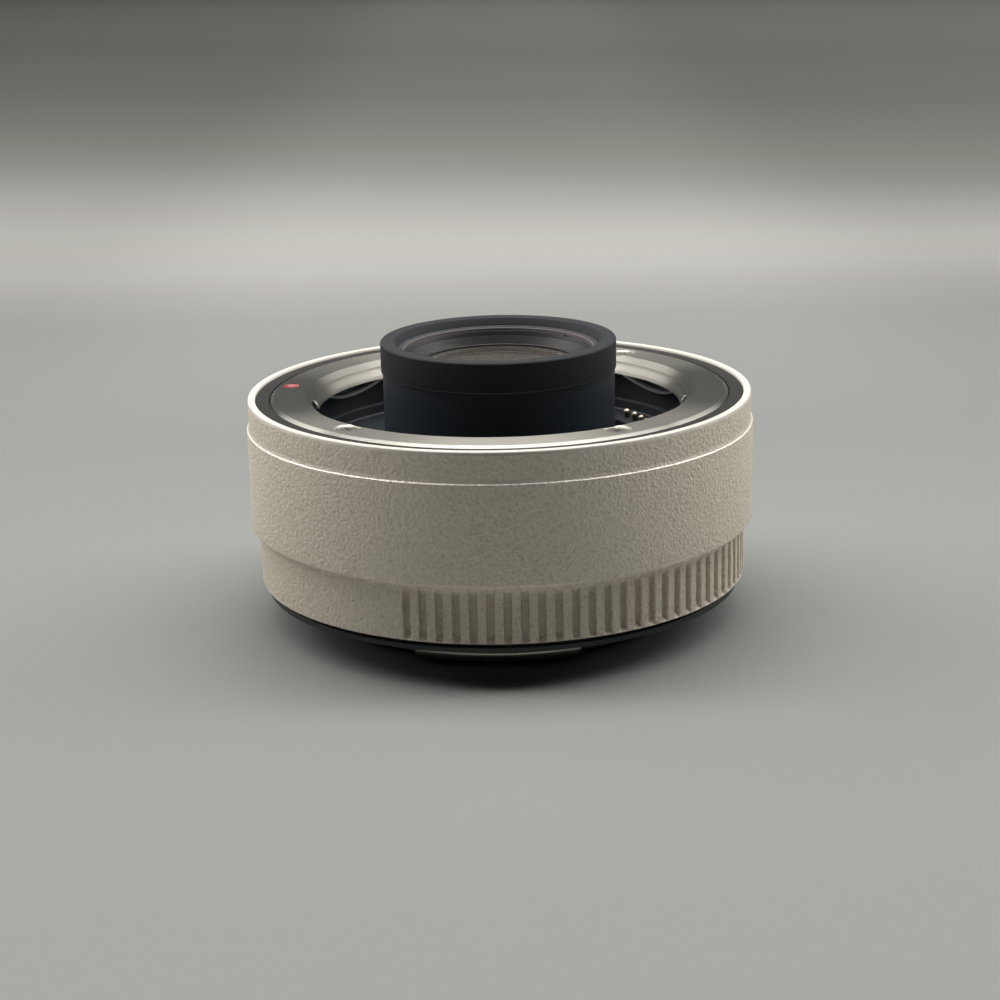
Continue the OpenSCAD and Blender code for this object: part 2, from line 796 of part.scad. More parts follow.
// One gold pin with its collar and round tip.
module contact_pin(a) {
    tip_z = block_top_z + pin_proud + pin_travel;
    color("gold")
        polar(pin_row_r, a) {
            rod(pin_r, pin_collar_top_z - pin_collar_h, tip_z - pin_r);
            rod(pin_collar_r, pin_collar_top_z - pin_collar_h, pin_collar_top_z);
            translate([0, 0, tip_z - pin_r]) sphere(r = pin_r);
        }
}

// The coil spring under one pin.
module contact_spring(a) {
    color("silver")
        polar(pin_row_r, a)
            coil_spring(
                pin_spring_r, pin_spring_wire_r, pin_spring_turns,
                pin_spring_z, pin_collar_top_z - pin_collar_h
            );
}

// Release slider: a ribbed finger pad outside and an arm that carries the lock pin inside.
module release_lever() {
    arm_in_r = baffle_r + 1.5 * free_gap;
    rib_w = lever_pad_h / (2 * pad_rib_count + 1);
    color("#26262a")
        rotate([0, 0, lock_angle])
            difference() {
                union() {
                    intersection() {
                        ring(pocket_r + free_gap, pad_r, pad_z, pad_z + lever_pad_h);
                        translate([0, -lever_pad_w / 2, pad_z]) cube([body_r, lever_pad_w, lever_pad_h]);
                    }
                    translate([arm_in_r + neck_root, -neck_w / 2, arm_z])
                        cube([pocket_r + pad_t / 2 - arm_in_r - neck_root + free_gap, neck_w, arm_t]);
                    intersection() {
                        ring(arm_in_r, chassis_bore_r + 1, arm_z, arm_z + arm_t);
                        translate([0, -neck_w / 2, arm_z]) cube([body_r, neck_w, arm_t]);
                    }
                }
                translate([lock_place_r, 0, 0]) rod(lock_pin_r + fit / 2, arm_z - eps, arm_z + arm_t + eps);
                for (i = [1 : pad_rib_count])
                    translate([0, 0, pad_z + rib_w * (2 * i - 1)])
                        difference() {
                            rod(body_r + 1, 0, rib_w);
                            translate([0, 0, -eps]) rod(pad_r - rib_w / 2, 0, rib_w + 2 * eps);
                        }
            }
}

// Steel lock pin: a collar under the arm, a guided shaft and a narrower tip.
module lock_pin() {
    tip_z = lens_face_z + lock_reach;
    color("silver")
        polar(lock_place_r, lock_angle) {
            rod(lock_collar_r, arm_z - lock_collar_h, arm_z);
            rod(lock_pin_r, arm_z - lock_collar_h, lens_face_z + rim_lip);
            rod(lock_tip_r, lens_face_z, tip_z - lock_tip_bevel);
            translate([0, 0, tip_z - lock_tip_bevel])
                cylinder(r1 = lock_tip_r, r2 = lock_tip_r - lock_tip_bevel, h = lock_tip_bevel);
        }
}

// The coil spring that pushes the lock pin out.
module lever_spring() {
    color("silver")
        polar(lock_place_r, lock_angle)
            coil_spring(
                lever_spring_r, lever_spring_wire_r, lever_spring_turns,
                web_z + spring_seat_h, arm_z - lock_collar_h
            );
}

// Riveted seat below the lock pin's spring.
module spring_seat() {
    color("gray")
        polar(lock_place_r, lock_angle) {
            rod(spring_post_r, web_z - web_t, web_z + spring_seat_h + spring_post_h);
            intersection() {
                rod(spring_seat_r, web_z, web_z + spring_seat_h);
                translate([-lock_place_r, 0, 0]) rod(chassis_bore_r - fit, web_z, web_z + spring_seat_h);
            }
        }
}

// Ring-shaped circuit board under the chassis web.
module circuit_board() {
    color("darkgreen")
        difference() {
            ring(board_in_r, board_out_r, board_z, board_z + board_t);
            for (a = board_screw_angles)
                polar(board_screw_r, a) rod(small_screw_r + fit, board_z - eps, board_z + board_t + eps);
        }
}

// Chips under the board.
module board_chips() {
    color("#202020")
        for (i = [0 : len(chip_sizes) - 1])
            polar((board_in_r + board_out_r) / 2, chip_angles[i])
                translate([-chip_sizes[i][1] / 2, -chip_sizes[i][0] / 2, board_z - chip_sizes[i][2]])
                    cube([chip_sizes[i][1], chip_sizes[i][0], chip_sizes[i][2]]);
}

// Three screws that hold the board to the chassis.
module board_screws() {
    color("silver")
        for (a = board_screw_angles)
            polar(board_screw_r, a)
                translate([0, 0, board_z]) mirror([0, 0, 1])
                    cheese_screw(0, board_t + standoff_h - fit);
}

// Flat cable between the front contact block and the board.
module front_flex() {
    color("darkorange")
        arc_block(pin_row_r, pin_row_r + flex_t, row_middle, front_flex_half, board_z + board_t, web_z);
}

// Flat cable between the board and the rear contact block.
module rear_flex() {
    color("darkorange")
        arc_block(rear_flex_r, rear_flex_r + flex_t, row_middle, rear_flex_half, rear_block_h, board_z);
}

// Black tube that holds the glass, with a flange that is screwed to the chassis.
module lens_tube() {
    rim_bevel = 0.3;
    color("#1a1b1d")
        difference() {
            rotate_extrude()
                polygon([
                    [rear_bore_r, tube_z],
                    [tube_r, tube_z],
                    [tube_r, web_z],
                    [tube_flange_r, web_z],
                    [tube_flange_r, web_z + tube_flange_t],
                    [tube_r, web_z + tube_flange_t],
                    [tube_r, bumper_z],
                    [spigot_r, bumper_z],
                    [spigot_r, spigot_z],
                    [front_bore_r + rim_bevel, spigot_z],
                    [front_bore_r, spigot_z - rim_bevel],
                    [front_bore_r, glass_shoulder_z],
                    [rear_bore_r - shoulder_w, glass_shoulder_z],
                    [rear_bore_r - shoulder_w, glass_shoulder_z - shoulder_w],
                    [rear_bore_r, glass_shoulder_z - shoulder_w]
                ]);
            for (a = tube_screw_angles)
                polar(tube_screw_r, a) rod(small_screw_r + fit, web_z - eps, web_z + tube_flange_t + eps);
        }
}

// Three screws through the tube's flange.
module tube_screws() {
    color("silver")
        for (a = tube_screw_angles)
            polar(tube_screw_r, a) cheese_screw(web_z + tube_flange_t, tube_flange_t + web_t - fit);
}

// Rubber ring around the front of the tube, with a rounded outer edge and a bevelled mouth.
module rubber_bumper() {
    round_r = 0.5;
    seat_r = spigot_r + fit;
    mouth_w = 0.9;
    color("#222325")
        rotate_extrude()
            difference() {
                union() {
                    translate([bumper_lip_r, bumper_z])
                        square([bumper_r - bumper_lip_r, bumper_h - round_r]);
                    translate([bumper_lip_r, barrel_top_z - 2 * round_r])
                        square([bumper_r - bumper_lip_r - round_r, 2 * round_r]);
                    translate([bumper_r - round_r, barrel_top_z - round_r]) circle(r = round_r, $fn = 48);
                }
                translate([0, bumper_z - eps]) square([seat_r, spigot_z - bumper_z + eps]);
                polygon([
                    [bumper_lip_r - eps, spigot_z],
                    [bumper_lip_r, spigot_z + fit],
                    [bumper_lip_r + mouth_w, barrel_top_z],
                    [bumper_lip_r + mouth_w, barrel_top_z + eps],
                    [bumper_lip_r - eps, barrel_top_z + eps]
                ]);
            }
}

// Threaded ring that holds the front glass.
module front_retainer() {
    z0 = glass_shoulder_z + front_rim_t;
    color("#2a2a2c")
        rotate_extrude()
            polygon([
                [front_glass_r - retainer_w, z0],
                [front_glass_r, z0],
                [front_glass_r, z0 + front_retainer_h],
                [front_glass_r - retainer_w / 3, z0 + front_retainer_h],
                [front_glass_r - 0.7 * retainer_w, z0 + 0.7 * front_retainer_h],
                [front_glass_r - front_lip_w, z0 + front_lip_h],
                [front_glass_r - front_lip_w, z0 + front_lip_h - front_lip_t]
            ]);
}

module front_element() {
    color("lightsteelblue")
        lens(
            front_glass_r, glass_shoulder_z, glass_shoulder_z + front_rim_t,
            front_face_radius, front_back_radius
        );
}

// Front half of the cemented pair.
module doublet_front() {
    color("lightsteelblue")
        lens(rear_glass_r, cemented_z, doublet_z, doublet_face_radius, cemented_radius);
}

// Rear half of the cemented pair: its front face is the other half's rear face.
module doublet_rear() {
    cup = sag(rear_glass_r - lens_land, cemented_radius);
    color("powderblue")
        difference() {
            lens(rear_glass_r, spacer_z, cemented_z, 0, doublet_back_radius);
            translate([0, 0, cemented_z - cup + cemented_radius])
                sphere(r = cemented_radius + cement_t, $fn = 360);
        }
}

// Plain ring between the cemented pair and the fourth glass.
module spacer_ring() {
    color("#202022") ring(rear_glass_r - retainer_w, rear_glass_r, fourth_z, spacer_z);
}

module fourth_element() {
    color("powderblue") lens(rear_glass_r, rear_element_z, fourth_z, fourth_face_radius, fourth_back_radius);
}

module rear_element() {
    color("lightsteelblue")
        lens(rear_glass_r, rear_retainer_z, rear_element_z, rear_face_radius, rear_back_radius);
}

// Threaded ring that holds the rear group.
module rear_retainer() {
    color("#2a2a2c")
        rotate_extrude()
            polygon([
                [rear_glass_r - 2 * retainer_w, rear_retainer_z - rear_retainer_h],
                [rear_glass_r, rear_retainer_z - rear_retainer_h],
                [rear_glass_r, rear_retainer_z],
                [rear_glass_r - lens_land / 2, rear_retainer_z],
                [rear_glass_r - 2 * retainer_w, rear_retainer_z - sag(rear_glass_r, rear_back_radius)]
            ]);
}

// Thin ring that sets the distance between the mounts.
module mount_shim() {
    color("khaki")
        difference() {
            ring(chassis_bottom_bore_r + fit, chassis_boss_r - fit, camera_seat_z, chassis_bottom_z);
            for (a = camera_screw_angles)
                polar(camera_screw_r, a)
                    rod(small_screw_r + fit, camera_seat_z - eps, chassis_bottom_z + eps);
        }
}

// Steel bayonet that locks into the camera: flange, neck, three lugs and the lock hole.
module camera_mount() {
    color("silver")
        difference() {
            union() {
                rotate_extrude()
                    polygon([
                        [camera_bore_r, lug_clear],
                        [camera_neck_r, lug_clear],
                        [camera_neck_r, flange_z],
                        [camera_flange_r - edge_bevel, flange_z],
                        [camera_flange_r, flange_z + edge_bevel],
                        [camera_flange_r, camera_seat_z],
                        [camera_bore_r, camera_seat_z]
                    ]);
                for (a = lug_angles)
                    arc_block(
                        camera_neck_r - eps, camera_lug_r, a, camera_lug_span / 2,
                        lug_clear, lug_clear + camera_lug_t
                    );
            }
            for (a = camera_screw_angles)
                polar(camera_screw_r, a) {
                    rod(small_screw_r + fit, flange_z - eps, camera_seat_z + eps);
                    rod(camera_screw_head_r + fit, flange_z - eps, flange_z + camera_screw_head_h + fit);
                }
            polar(camera_screw_r, lock_angle) rod(lock_hole_r, flange_z - eps, camera_seat_z + eps);
        }
}

// Four screws through the camera mount.
module camera_mount_screws() {
    seat = flange_z + camera_screw_head_h + fit;
    color("silver")
        for (a = camera_screw_angles)
            polar(camera_screw_r, a)
                difference() {
                    union() {
                        rod(camera_screw_head_r, seat - camera_screw_head_h, seat);
                        rod(small_screw_r - fit, seat - eps / 2, flange_z + camera_screw_length);
                    }
                    mirror([0, 0, 1]) cross_recess(camera_screw_head_h - seat, camera_screw_head_r);
                }
}

// Black rubber seal around the camera flange.
module mount_gasket() {
    in_r = camera_flange_r + fit;
    out_r = camera_flange_r + gasket_w;
    color("#151515")
        rotate_extrude()
            polygon([
                [in_r, white_bottom_z],
                [in_r, flange_z + gasket_lip],
                [out_r - 2 * gasket_lip, flange_z - gasket_drop],
                [out_r, flange_z - gasket_drop],
                [out_r, flange_z],
                [in_r + gasket_neck_w, flange_z],
                [in_r + gasket_neck_w, white_bottom_z]
            ]);
}

// The rear window's outline with round corners.
module window_outline() {
    inner_w = window_w - 2 * window_corner_r;
    inner_h = window_h - 2 * window_corner_r;
    square([window_w, inner_h], center = true);
    square([inner_w, window_h], center = true);
    for (x = [-1, 1], y = [-1, 1])
        translate([x * inner_w / 2, y * inner_h / 2]) circle(r = window_corner_r, $fn = 48);
}

// Black rear cover: the skirt that the part stands on, a plate with a window, and a shelf.
module rear_baffle() {
    wall_in_r = rear_cover_r - rear_cover_wall;
    gap_angle = 0.6;
    shelf_t = 1.2;
    color("#161618")
        difference() {
            union() {
                difference() {
                    union() {
                        rotate_extrude()
                            polygon([
                                [wall_in_r, 0],
                                [rear_cover_r - edge_bevel, 0],
                                [rear_cover_r, edge_bevel],
                                [rear_cover_r, camera_seat_z],
                                [rear_cover_flange_r, camera_seat_z],
                                [rear_cover_flange_r, camera_seat_z + rear_cover_flange_t],
                                [wall_in_r, camera_seat_z + rear_cover_flange_t]
                            ]);
                        translate([0, 0, rear_plate_z])
                            linear_extrude(rear_plate_t)
                                difference() {
                                    circle(r = wall_in_r + rear_cover_wall / 2);
                                    window_outline();
                                }
                    }
                    arc_block(
                        rear_block_in_r - fit, rear_cover_r + eps, row_middle, rear_block_half + gap_angle,
                        -eps, rear_block_h
                    );
                }
                arc_block(
                    rear_block_in_r, wall_in_r + rear_cover_wall / 2, row_middle, rear_block_half,
                    rear_block_h, rear_block_h + shelf_t
                );
            }
            arc_block(
                rear_flex_r - free_gap, rear_flex_r + flex_t + free_gap, row_middle, rear_flex_half + 1,
                rear_block_h - eps, camera_seat_z + rear_cover_flange_t + eps
            );
            for (a = rear_screw_angles)
                polar(rear_screw_r, a) rod(small_screw_r, rear_block_h - eps, rear_block_h + shelf_t + eps);
        }
}

// Moulded block that carries the gold pads on the camera side.
module rear_contact_block() {
    color("#17171a")
        difference() {
            arc_block(rear_block_in_r, rear_block_out_r, row_middle, rear_block_half, 0, rear_block_h);
            for (a = pin_angles)
                arc_block(
                    rear_row_r - contact_pad_l / 2 - fit, rear_row_r + contact_pad_l / 2 + fit, a,
                    contact_pad_half + pad_gap_angle, -eps, pad_depth + pad_recess
                );
            for (a = rear_screw_angles)
                polar(rear_screw_r, a) {
                    rod(small_screw_r + fit, -eps, rear_block_h + eps);
                    rod(small_screw_head_r + fit, -eps, small_screw_head_h + rear_screw_sink);
                }
        }
}

// Gold pads that the camera's pins press on.
module rear_contact_pads() {
    color("gold")
        for (a = pin_angles)
            arc_block(
                rear_row_r - contact_pad_l / 2, rear_row_r + contact_pad_l / 2, a,
                contact_pad_half, pad_recess, pad_depth + pad_recess
            );
}

// Two screws that hold the rear contact block to the shelf.
module rear_contact_screws() {
    color("silver")
        for (a = rear_screw_angles)
            polar(rear_screw_r, a)
                translate([0, 0, small_screw_head_h + rear_screw_sink]) mirror([0, 0, 1])
                    cheese_screw(0, rear_block_h - small_screw_head_h + rear_screw_bite);
}

main_barrel();
grip_ring();
rear_index_dot();
chassis();
lens_mount();
lens_mount_screws();
front_index_dot();
mount_springs();
front_baffle();
contact_block();
contact_block_screws();
release_lever();
lock_pin();
lever_spring();
spring_seat();
circuit_board();
board_chips();
board_screws();
front_flex();
rear_flex();
lens_tube();
tube_screws();
rubber_bumper();
front_retainer();
front_element();
doublet_front();
doublet_rear();
spacer_ring();
fourth_element();
rear_element();
rear_retainer();
mount_shim();
camera_mount();
camera_mount_screws();
mount_gasket();
rear_baffle();
rear_contact_block();
rear_contact_pads();
rear_contact_screws();
for (i = [1 : pin_count]) {
    contact_pin(pin_angles[i - 1]);
    contact_spring(pin_angles[i - 1]);
}
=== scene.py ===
from math import asin, cos, degrees, pi, radians, sin, sqrt, tan

import bmesh
import bpy
from mathutils import Matrix, Vector


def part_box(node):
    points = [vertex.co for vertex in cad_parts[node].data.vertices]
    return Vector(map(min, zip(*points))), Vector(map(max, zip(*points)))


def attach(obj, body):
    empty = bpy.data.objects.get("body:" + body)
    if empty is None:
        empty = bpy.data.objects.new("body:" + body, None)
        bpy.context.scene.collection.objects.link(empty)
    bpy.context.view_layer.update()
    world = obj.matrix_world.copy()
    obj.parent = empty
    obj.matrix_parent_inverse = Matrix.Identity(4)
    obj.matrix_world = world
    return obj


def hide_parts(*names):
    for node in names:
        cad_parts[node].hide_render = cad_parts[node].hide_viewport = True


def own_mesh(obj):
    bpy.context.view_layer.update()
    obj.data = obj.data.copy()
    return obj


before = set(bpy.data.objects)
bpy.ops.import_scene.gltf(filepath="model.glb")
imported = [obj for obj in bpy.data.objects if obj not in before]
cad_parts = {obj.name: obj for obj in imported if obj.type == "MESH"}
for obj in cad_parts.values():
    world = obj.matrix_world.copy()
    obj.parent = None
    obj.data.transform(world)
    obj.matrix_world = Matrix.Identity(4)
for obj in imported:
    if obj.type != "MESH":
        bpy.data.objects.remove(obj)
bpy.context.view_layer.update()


# Chassis
# The inner frame that both mounts, the lens barrel and the electronics are screwed to.
# It is turned from aluminium, bead blasted and anodised black. Only its top ring shows,
# set a little below the white rim and the steel mount that sits in it.
def linear(code):
    """A colour written as sRGB hex, as the linear values that Blender works with."""
    shares = [int(code[i:i + 2], 16) / 255 for i in (1, 3, 5)]
    return [v / 12.92 if v <= 0.04045 else ((v + 0.055) / 1.055) ** 2.4 for v in shares] + [1]


def add(tree, kind, inputs=None, **settings):
    """Adds a node. An input takes a value, or the output of another node as a link."""
    made = tree.nodes.new(kind)
    for name, value in settings.items():
        setattr(made, name, value)
    for name, value in (inputs or {}).items():
        if isinstance(value, bpy.types.NodeSocket):
            tree.links.new(value, made.inputs[name])
        else:
            made.inputs[name].default_value = value
    return made


def material(name, **sockets):
    """A new material, with the sockets of its shader that are the same all over, its nodes, its shader
    and the place on the piece that its patterns start from."""
    made = bpy.data.materials.new(name)
    made.use_nodes = True
    shader = made.node_tree.nodes["Principled BSDF"]
    for socket, value in sockets.items():
        shader.inputs[socket.replace("_", " ")].default_value = value
    place = add(made.node_tree, "ShaderNodeTexCoord").outputs["Object"]
    return made, made.node_tree, shader, place


def coat(finish, *names):
    """Gives CAD nodes that stay as they are their finish."""
    for name in names:
        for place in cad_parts[name].material_slots:
            place.material = finish


# Black anodised aluminium, bead blasted: a dull dark grey with a fine sparkle of 0.12 mm grit.
black_anodised, tree, shader, place = material("black_anodised_aluminium", IOR=1.6, Specular_IOR_Level=0.4)
grit = add(tree, "ShaderNodeTexNoise", {"Vector": place, "Scale": 1 / 0.00012, "Detail": 2})
tint = add(tree, "ShaderNodeMix", {
    "Factor": grit.outputs["Fac"], 6: linear("#252422"), 7: linear("#343330")}, data_type="RGBA")
tree.links.new(tint.outputs[2], shader.inputs["Base Color"])
dull = add(tree, "ShaderNodeMapRange", {"Value": grit.outputs["Fac"], "To Min": 0.42, "To Max": 0.6})
tree.links.new(dull.outputs[0], shader.inputs["Roughness"])
blast = add(tree, "ShaderNodeBump", {
    "Height": grit.outputs["Fac"], "Strength": 0.25, "Distance": 0.00003})
tree.links.new(blast.outputs[0], shader.inputs["Normal"])
coat(black_anodised, "chassis", "spacer_ring", "rear_retainer")


# Circuit board with its chips, screws and flat cables
# A ring of glass fibre board under the chassis web, with three moulded chips on its lower side.
# Two polyimide cables join it to the contact blocks, and three screws hold it to the standoffs.
# Solder mask over copper: glossy dark green, with paler tracks about 0.5 mm apart.
solder_mask, tree, shader, place = material("solder_mask_board", IOR=1.5)
tracks = add(tree, "ShaderNodeTexBrick", {
    "Vector": place, "Scale": 1 / 0.004, "Mortar Size": 0.03, "Color1": linear("#0E3B22"),
    "Color2": linear("#124A2A"), "Mortar": linear("#2E7A4C"), "Brick Width": 0.9, "Row Height": 0.14})
tree.links.new(tracks.outputs["Color"], shader.inputs["Base Color"])
shader.inputs["Roughness"].default_value = 0.28
coat(solder_mask, "circuit_board")

# Moulded epoxy: dull black with the fine grain that the mould leaves.
epoxy, tree, shader, place = material("moulded_epoxy", IOR=1.55)
grain = add(tree, "ShaderNodeTexNoise", {"Vector": place, "Scale": 1 / 0.0002, "Detail": 2})
tint = add(tree, "ShaderNodeMix", {
    "Factor": grain.outputs["Fac"], 6: linear("#141414"), 7: linear("#262626")}, data_type="RGBA")
tree.links.new(tint.outputs[2], shader.inputs["Base Color"])
shader.inputs["Roughness"].default_value = 0.6
coat(epoxy, "board_chips")

# Polyimide film: translucent amber, with dark copper tracks 0.4 mm apart under it.
polyimide, tree, shader, place = material("polyimide_film", IOR=1.7, Roughness=0.3)
tracks = add(tree, "ShaderNodeTexWave", {"Vector": place, "Scale": 1 / 0.0008}, bands_direction="Y")
tint = add(tree, "ShaderNodeMix", {
    "Factor": tracks.outputs["Fac"], 6: linear("#8A4A12"), 7: linear("#C9812B")}, data_type="RGBA")
tree.links.new(tint.outputs[2], shader.inputs["Base Color"])
coat(polyimide, "front_flex", "rear_flex")

# Nickel plated screw steel: bright, with faint rolling marks 0.1 mm apart.
nickel_plate, tree, shader, place = material("nickel_plated_steel", Metallic=1)
marks = add(tree, "ShaderNodeTexNoise", {"Vector": place, "Scale": 1 / 0.0001, "Detail": 2})
tint = add(tree, "ShaderNodeMix", {
    "Factor": marks.outputs["Fac"], 6: linear("#B4B1AA"), 7: linear("#D8D5CE")}, data_type="RGBA")
tree.links.new(tint.outputs[2], shader.inputs["Base Color"])
dull = add(tree, "ShaderNodeMapRange", {"Value": marks.outputs["Fac"], "To Min": 0.3, "To Max": 0.45})
tree.links.new(dull.outputs[0], shader.inputs["Roughness"])
coat(nickel_plate, "board_screws", "tube_screws", "contact_block_screws", "rear_contact_screws",
     "spring_seat")


# Lens tube
# The black tube that holds the five glasses. It is turned from aluminium, with a flange that three
# screws hold to the chassis, a stepped spigot for the rubber ring and a bevelled mouth.
def eased(corners, steps=6):
    """An outline in mm from corners (radius, height, ease), each corner rounded off by its ease."""
    outline = []
    for i, corner in enumerate(corners):
        here = Vector(corner[:2])
        ease = corner[2] if len(corner) > 2 else 0
        if not ease:
            outline.append(here)
            continue
        back = (Vector(corners[i - 1][:2]) - here).normalized()
        ahead = (Vector(corners[(i + 1) % len(corners)][:2]) - here).normalized()
        half = back.angle(ahead) / 2
        middle = here + (back + ahead).normalized() * ease / sin(half)
        first = here + back * ease / tan(half) - middle
        last = here + ahead * ease / tan(half) - middle
        for k in range(steps + 1):
            outline.append(middle + first.lerp(last, k / steps).normalized() * ease)
    return outline


def turned(name, outline, angles=None, shape=None, whole=True):
    """Turns a closed outline in mm about the optical axis. shape may move a point at its angle."""
    angles = angles or [1.25 * i for i in range(288)]
    points = []
    for angle in angles:
        for r, z in outline:
            if shape:
                r, z = shape(r, z, angle)
            points.append((r * cos(radians(angle)) / 1000, r * sin(radians(angle)) / 1000, z / 1000))
    rows, count = len(angles), len(outline)
    faces = []
    for i in range(rows if whole else rows - 1):
        for k in range(count):
            a, b = i * count, (i + 1) % rows * count
            faces.append((a + k, b + k, b + (k + 1) % count, a + (k + 1) % count))
    if not whole:
        faces.append(tuple(range(count)))
        faces.append(tuple(range((rows - 1) * count, rows * count))[::-1])
    mesh = bpy.data.meshes.new(name)
    mesh.from_pydata(points, [], faces)
    piece = bpy.data.objects.new(name, mesh)
    bpy.context.scene.collection.objects.link(piece)
    return smoothed(piece)


def smoothed(piece, angle=32):
    """Cleans a mesh, turns its faces outwards and shades it smooth between its sharp edges."""
    work = bmesh.new()
    work.from_mesh(piece.data)
    bmesh.ops.remove_doubles(work, verts=work.verts, dist=1e-7)
    bmesh.ops.dissolve_degenerate(work, edges=work.edges, dist=1e-7)
    bmesh.ops.recalc_face_normals(work, faces=work.faces)
    work.to_mesh(piece.data)
    work.free()
    piece.data.shade_smooth()
    piece.data.set_sharp_from_angle(angle=radians(angle))
    return piece


def joined(piece, tools, how="DIFFERENCE"):
    """Cuts the tools out of a piece, or joins them to it, and removes them."""
    for tool in tools:
        step = piece.modifiers.new("step", "BOOLEAN")
        step.operation, step.solver, step.object = how, "EXACT", tool
    seen = piece.evaluated_get(bpy.context.evaluated_depsgraph_get())
    old, piece.data = piece.data, bpy.data.meshes.new_from_object(seen)
    piece.data.name = piece.name
    piece.modifiers.clear()
    bpy.data.meshes.remove(old)
    for tool in tools:
        bpy.data.meshes.remove(tool.data)
    return smoothed(piece)


def rod(place_r, angle, r, z0, z1, top_r=None, sides=48):
    """A round tool on the axis at a radius and an angle, straight or as a cone."""
    top_r = r if top_r is None else top_r
    x, y = place_r * cos(radians(angle)), place_r * sin(radians(angle))
    ring = [(cos(2 * pi * i / sides), sin(2 * pi * i / sides)) for i in range(sides)]
    points = [((x + r * c) / 1000, (y + r * s) / 1000, z0 / 1000) for c, s in ring]
    points += [((x + top_r * c) / 1000, (y + top_r * s) / 1000, z1 / 1000) for c, s in ring]
    faces = [(i, (i + 1) % sides, sides + (i + 1) % sides, sides + i) for i in range(sides)]
    faces += [tuple(range(sides))[::-1], tuple(range(sides, 2 * sides))]
    mesh = bpy.data.meshes.new("rod")
    mesh.from_pydata(points, [], faces)
    piece = bpy.data.objects.new("rod", mesh)
    bpy.context.scene.collection.objects.link(piece)
    return piece


def fitted(piece, finish, slot, *nodes, body="root"):
    """Gives a piece its finish and its place in the frame, in the stead of CAD nodes."""
    piece.data.materials.clear()
    piece.data.materials.append(finish)
    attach(piece, body)
    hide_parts(*nodes)
    return piece


tube = turned("lens_tube", eased([
    (13.2, 6.0, 0.2), (16.5, 6.0, 0.3), (16.5, 19.6), (19.6, 19.6, 0.2), (19.6, 21.2, 0.2),
    (16.65, 21.2, 0.3), (16.65, 35.9, 0.1), (15.2, 35.9), (15.2, 39.2, 0.1), (13.9, 39.2, 0.08),
    (13.6, 38.9, 0.08), (13.6, 33.0), (12.0, 33.0, 0.1), (12.0, 31.8, 0.1), (13.2, 31.8)]))
flange_hole_r, flange_hole_place_r = 0.65, 18.05
joined(tube, [rod(flange_hole_place_r, a, flange_hole_r, 19, 22) for a in (90, 210, 330)])

# Matt black lacquer on aluminium: almost no shine, faintly blue, with pale dust about 0.15 mm across.
# A ring just inside the mouth is painted pinkish grey: a painted highlight.
matt_lacquer, tree, shader, place = material("matt_black_lacquer", IOR=1.5, Specular_IOR_Level=0.3)
mist = add(tree, "ShaderNodeTexNoise", {"Vector": place, "Scale": 1 / 0.00025, "Detail": 3})
specks = add(tree, "ShaderNodeTexVoronoi", {"Vector": place, "Scale": 1 / 0.0016})
dust = add(tree, "ShaderNodeMapRange", {
    "Value": specks.outputs["Distance"], "From Min": 0.03, "From Max": 0.06, "To Min": 0.3, "To Max": 0})
tint = add(tree, "ShaderNodeMix", {
    "Factor": mist.outputs["Fac"], 6: linear("#18212A"), 7: linear("#28313C")}, data_type="RGBA")
dusty = add(tree, "ShaderNodeMix", {
    "Factor": dust.outputs[0], 6: tint.outputs[2], 7: linear("#6A6C6E")}, data_type="RGBA")
parts = add(tree, "ShaderNodeSeparateXYZ", {"Vector": place})
# Painted highlight: the pinkish grey ring just inside the mouth.
highlight_band = add(tree, "ShaderNodeMapRange", {
    "Value": parts.outputs["Z"], "From Min": 0.0389, "From Max": 0.03905, "To Min": 1, "To Max": 0.2})
inside = add(tree, "ShaderNodeMapRange", {
    "Value": parts.outputs["Z"], "From Min": 0.0384, "From Max": 0.03845, "To Min": 0, "To Max": 0.85})
mouth = add(tree, "ShaderNodeMath", {0: highlight_band.outputs[0], 1: inside.outputs[0]}, operation="MULTIPLY")
painted_highlight = add(tree, "ShaderNodeMix", {
    "Factor": mouth.outputs[0], 6: dusty.outputs[2], 7: linear("#9A9192")}, data_type="RGBA")
tree.links.new(painted_highlight.outputs[2], shader.inputs["Base Color"])
dull = add(tree, "ShaderNodeMapRange", {"Value": mist.outputs["Fac"], "To Min": 0.5, "To Max": 0.68})
tree.links.new(dull.outputs[0], shader.inputs["Roughness"])
skin = add(tree, "ShaderNodeBump", {"Height": mist.outputs["Fac"], "Strength": 0.2, "Distance": 0.00004})
tree.links.new(skin.outputs[0], shader.inputs["Normal"])
fitted(tube, matt_lacquer, "black_alloy", "lens_tube")


# Glass
# Five ground and polished elements in four groups, with the second and third cemented together.
# The outer faces carry a thin antireflection coating that leaves a weak, warm reflection.
# Coated glass: clear, with little gloss, a violet film, and a thin brown haze and specks of dust on it.
coated_glass, tree, shader, place = material(
    "coated_optical_glass", IOR=1.62, Transmission_Weight=0.93, Thin_Film_Thickness=128, Thin_Film_IOR=1.38)
specks = add(tree, "ShaderNodeTexVoronoi", {"Vector": place, "Scale": 1 / 0.0024})
dust = add(tree, "ShaderNodeMapRange", {
    "Value": specks.outputs["Distance"], "From Min": 0.02, "From Max": 0.05, "To Min": 0.6, "To Max": 0.02})
tree.links.new(dust.outputs[0], shader.inputs["Roughness"])
tint = add(tree, "ShaderNodeMix", {
    "Factor": dust.outputs[0], 6: linear("#D9D0C2"), 7: linear("#8C8A84")}, data_type="RGBA")
tree.links.new(tint.outputs[2], shader.inputs["Base Color"])


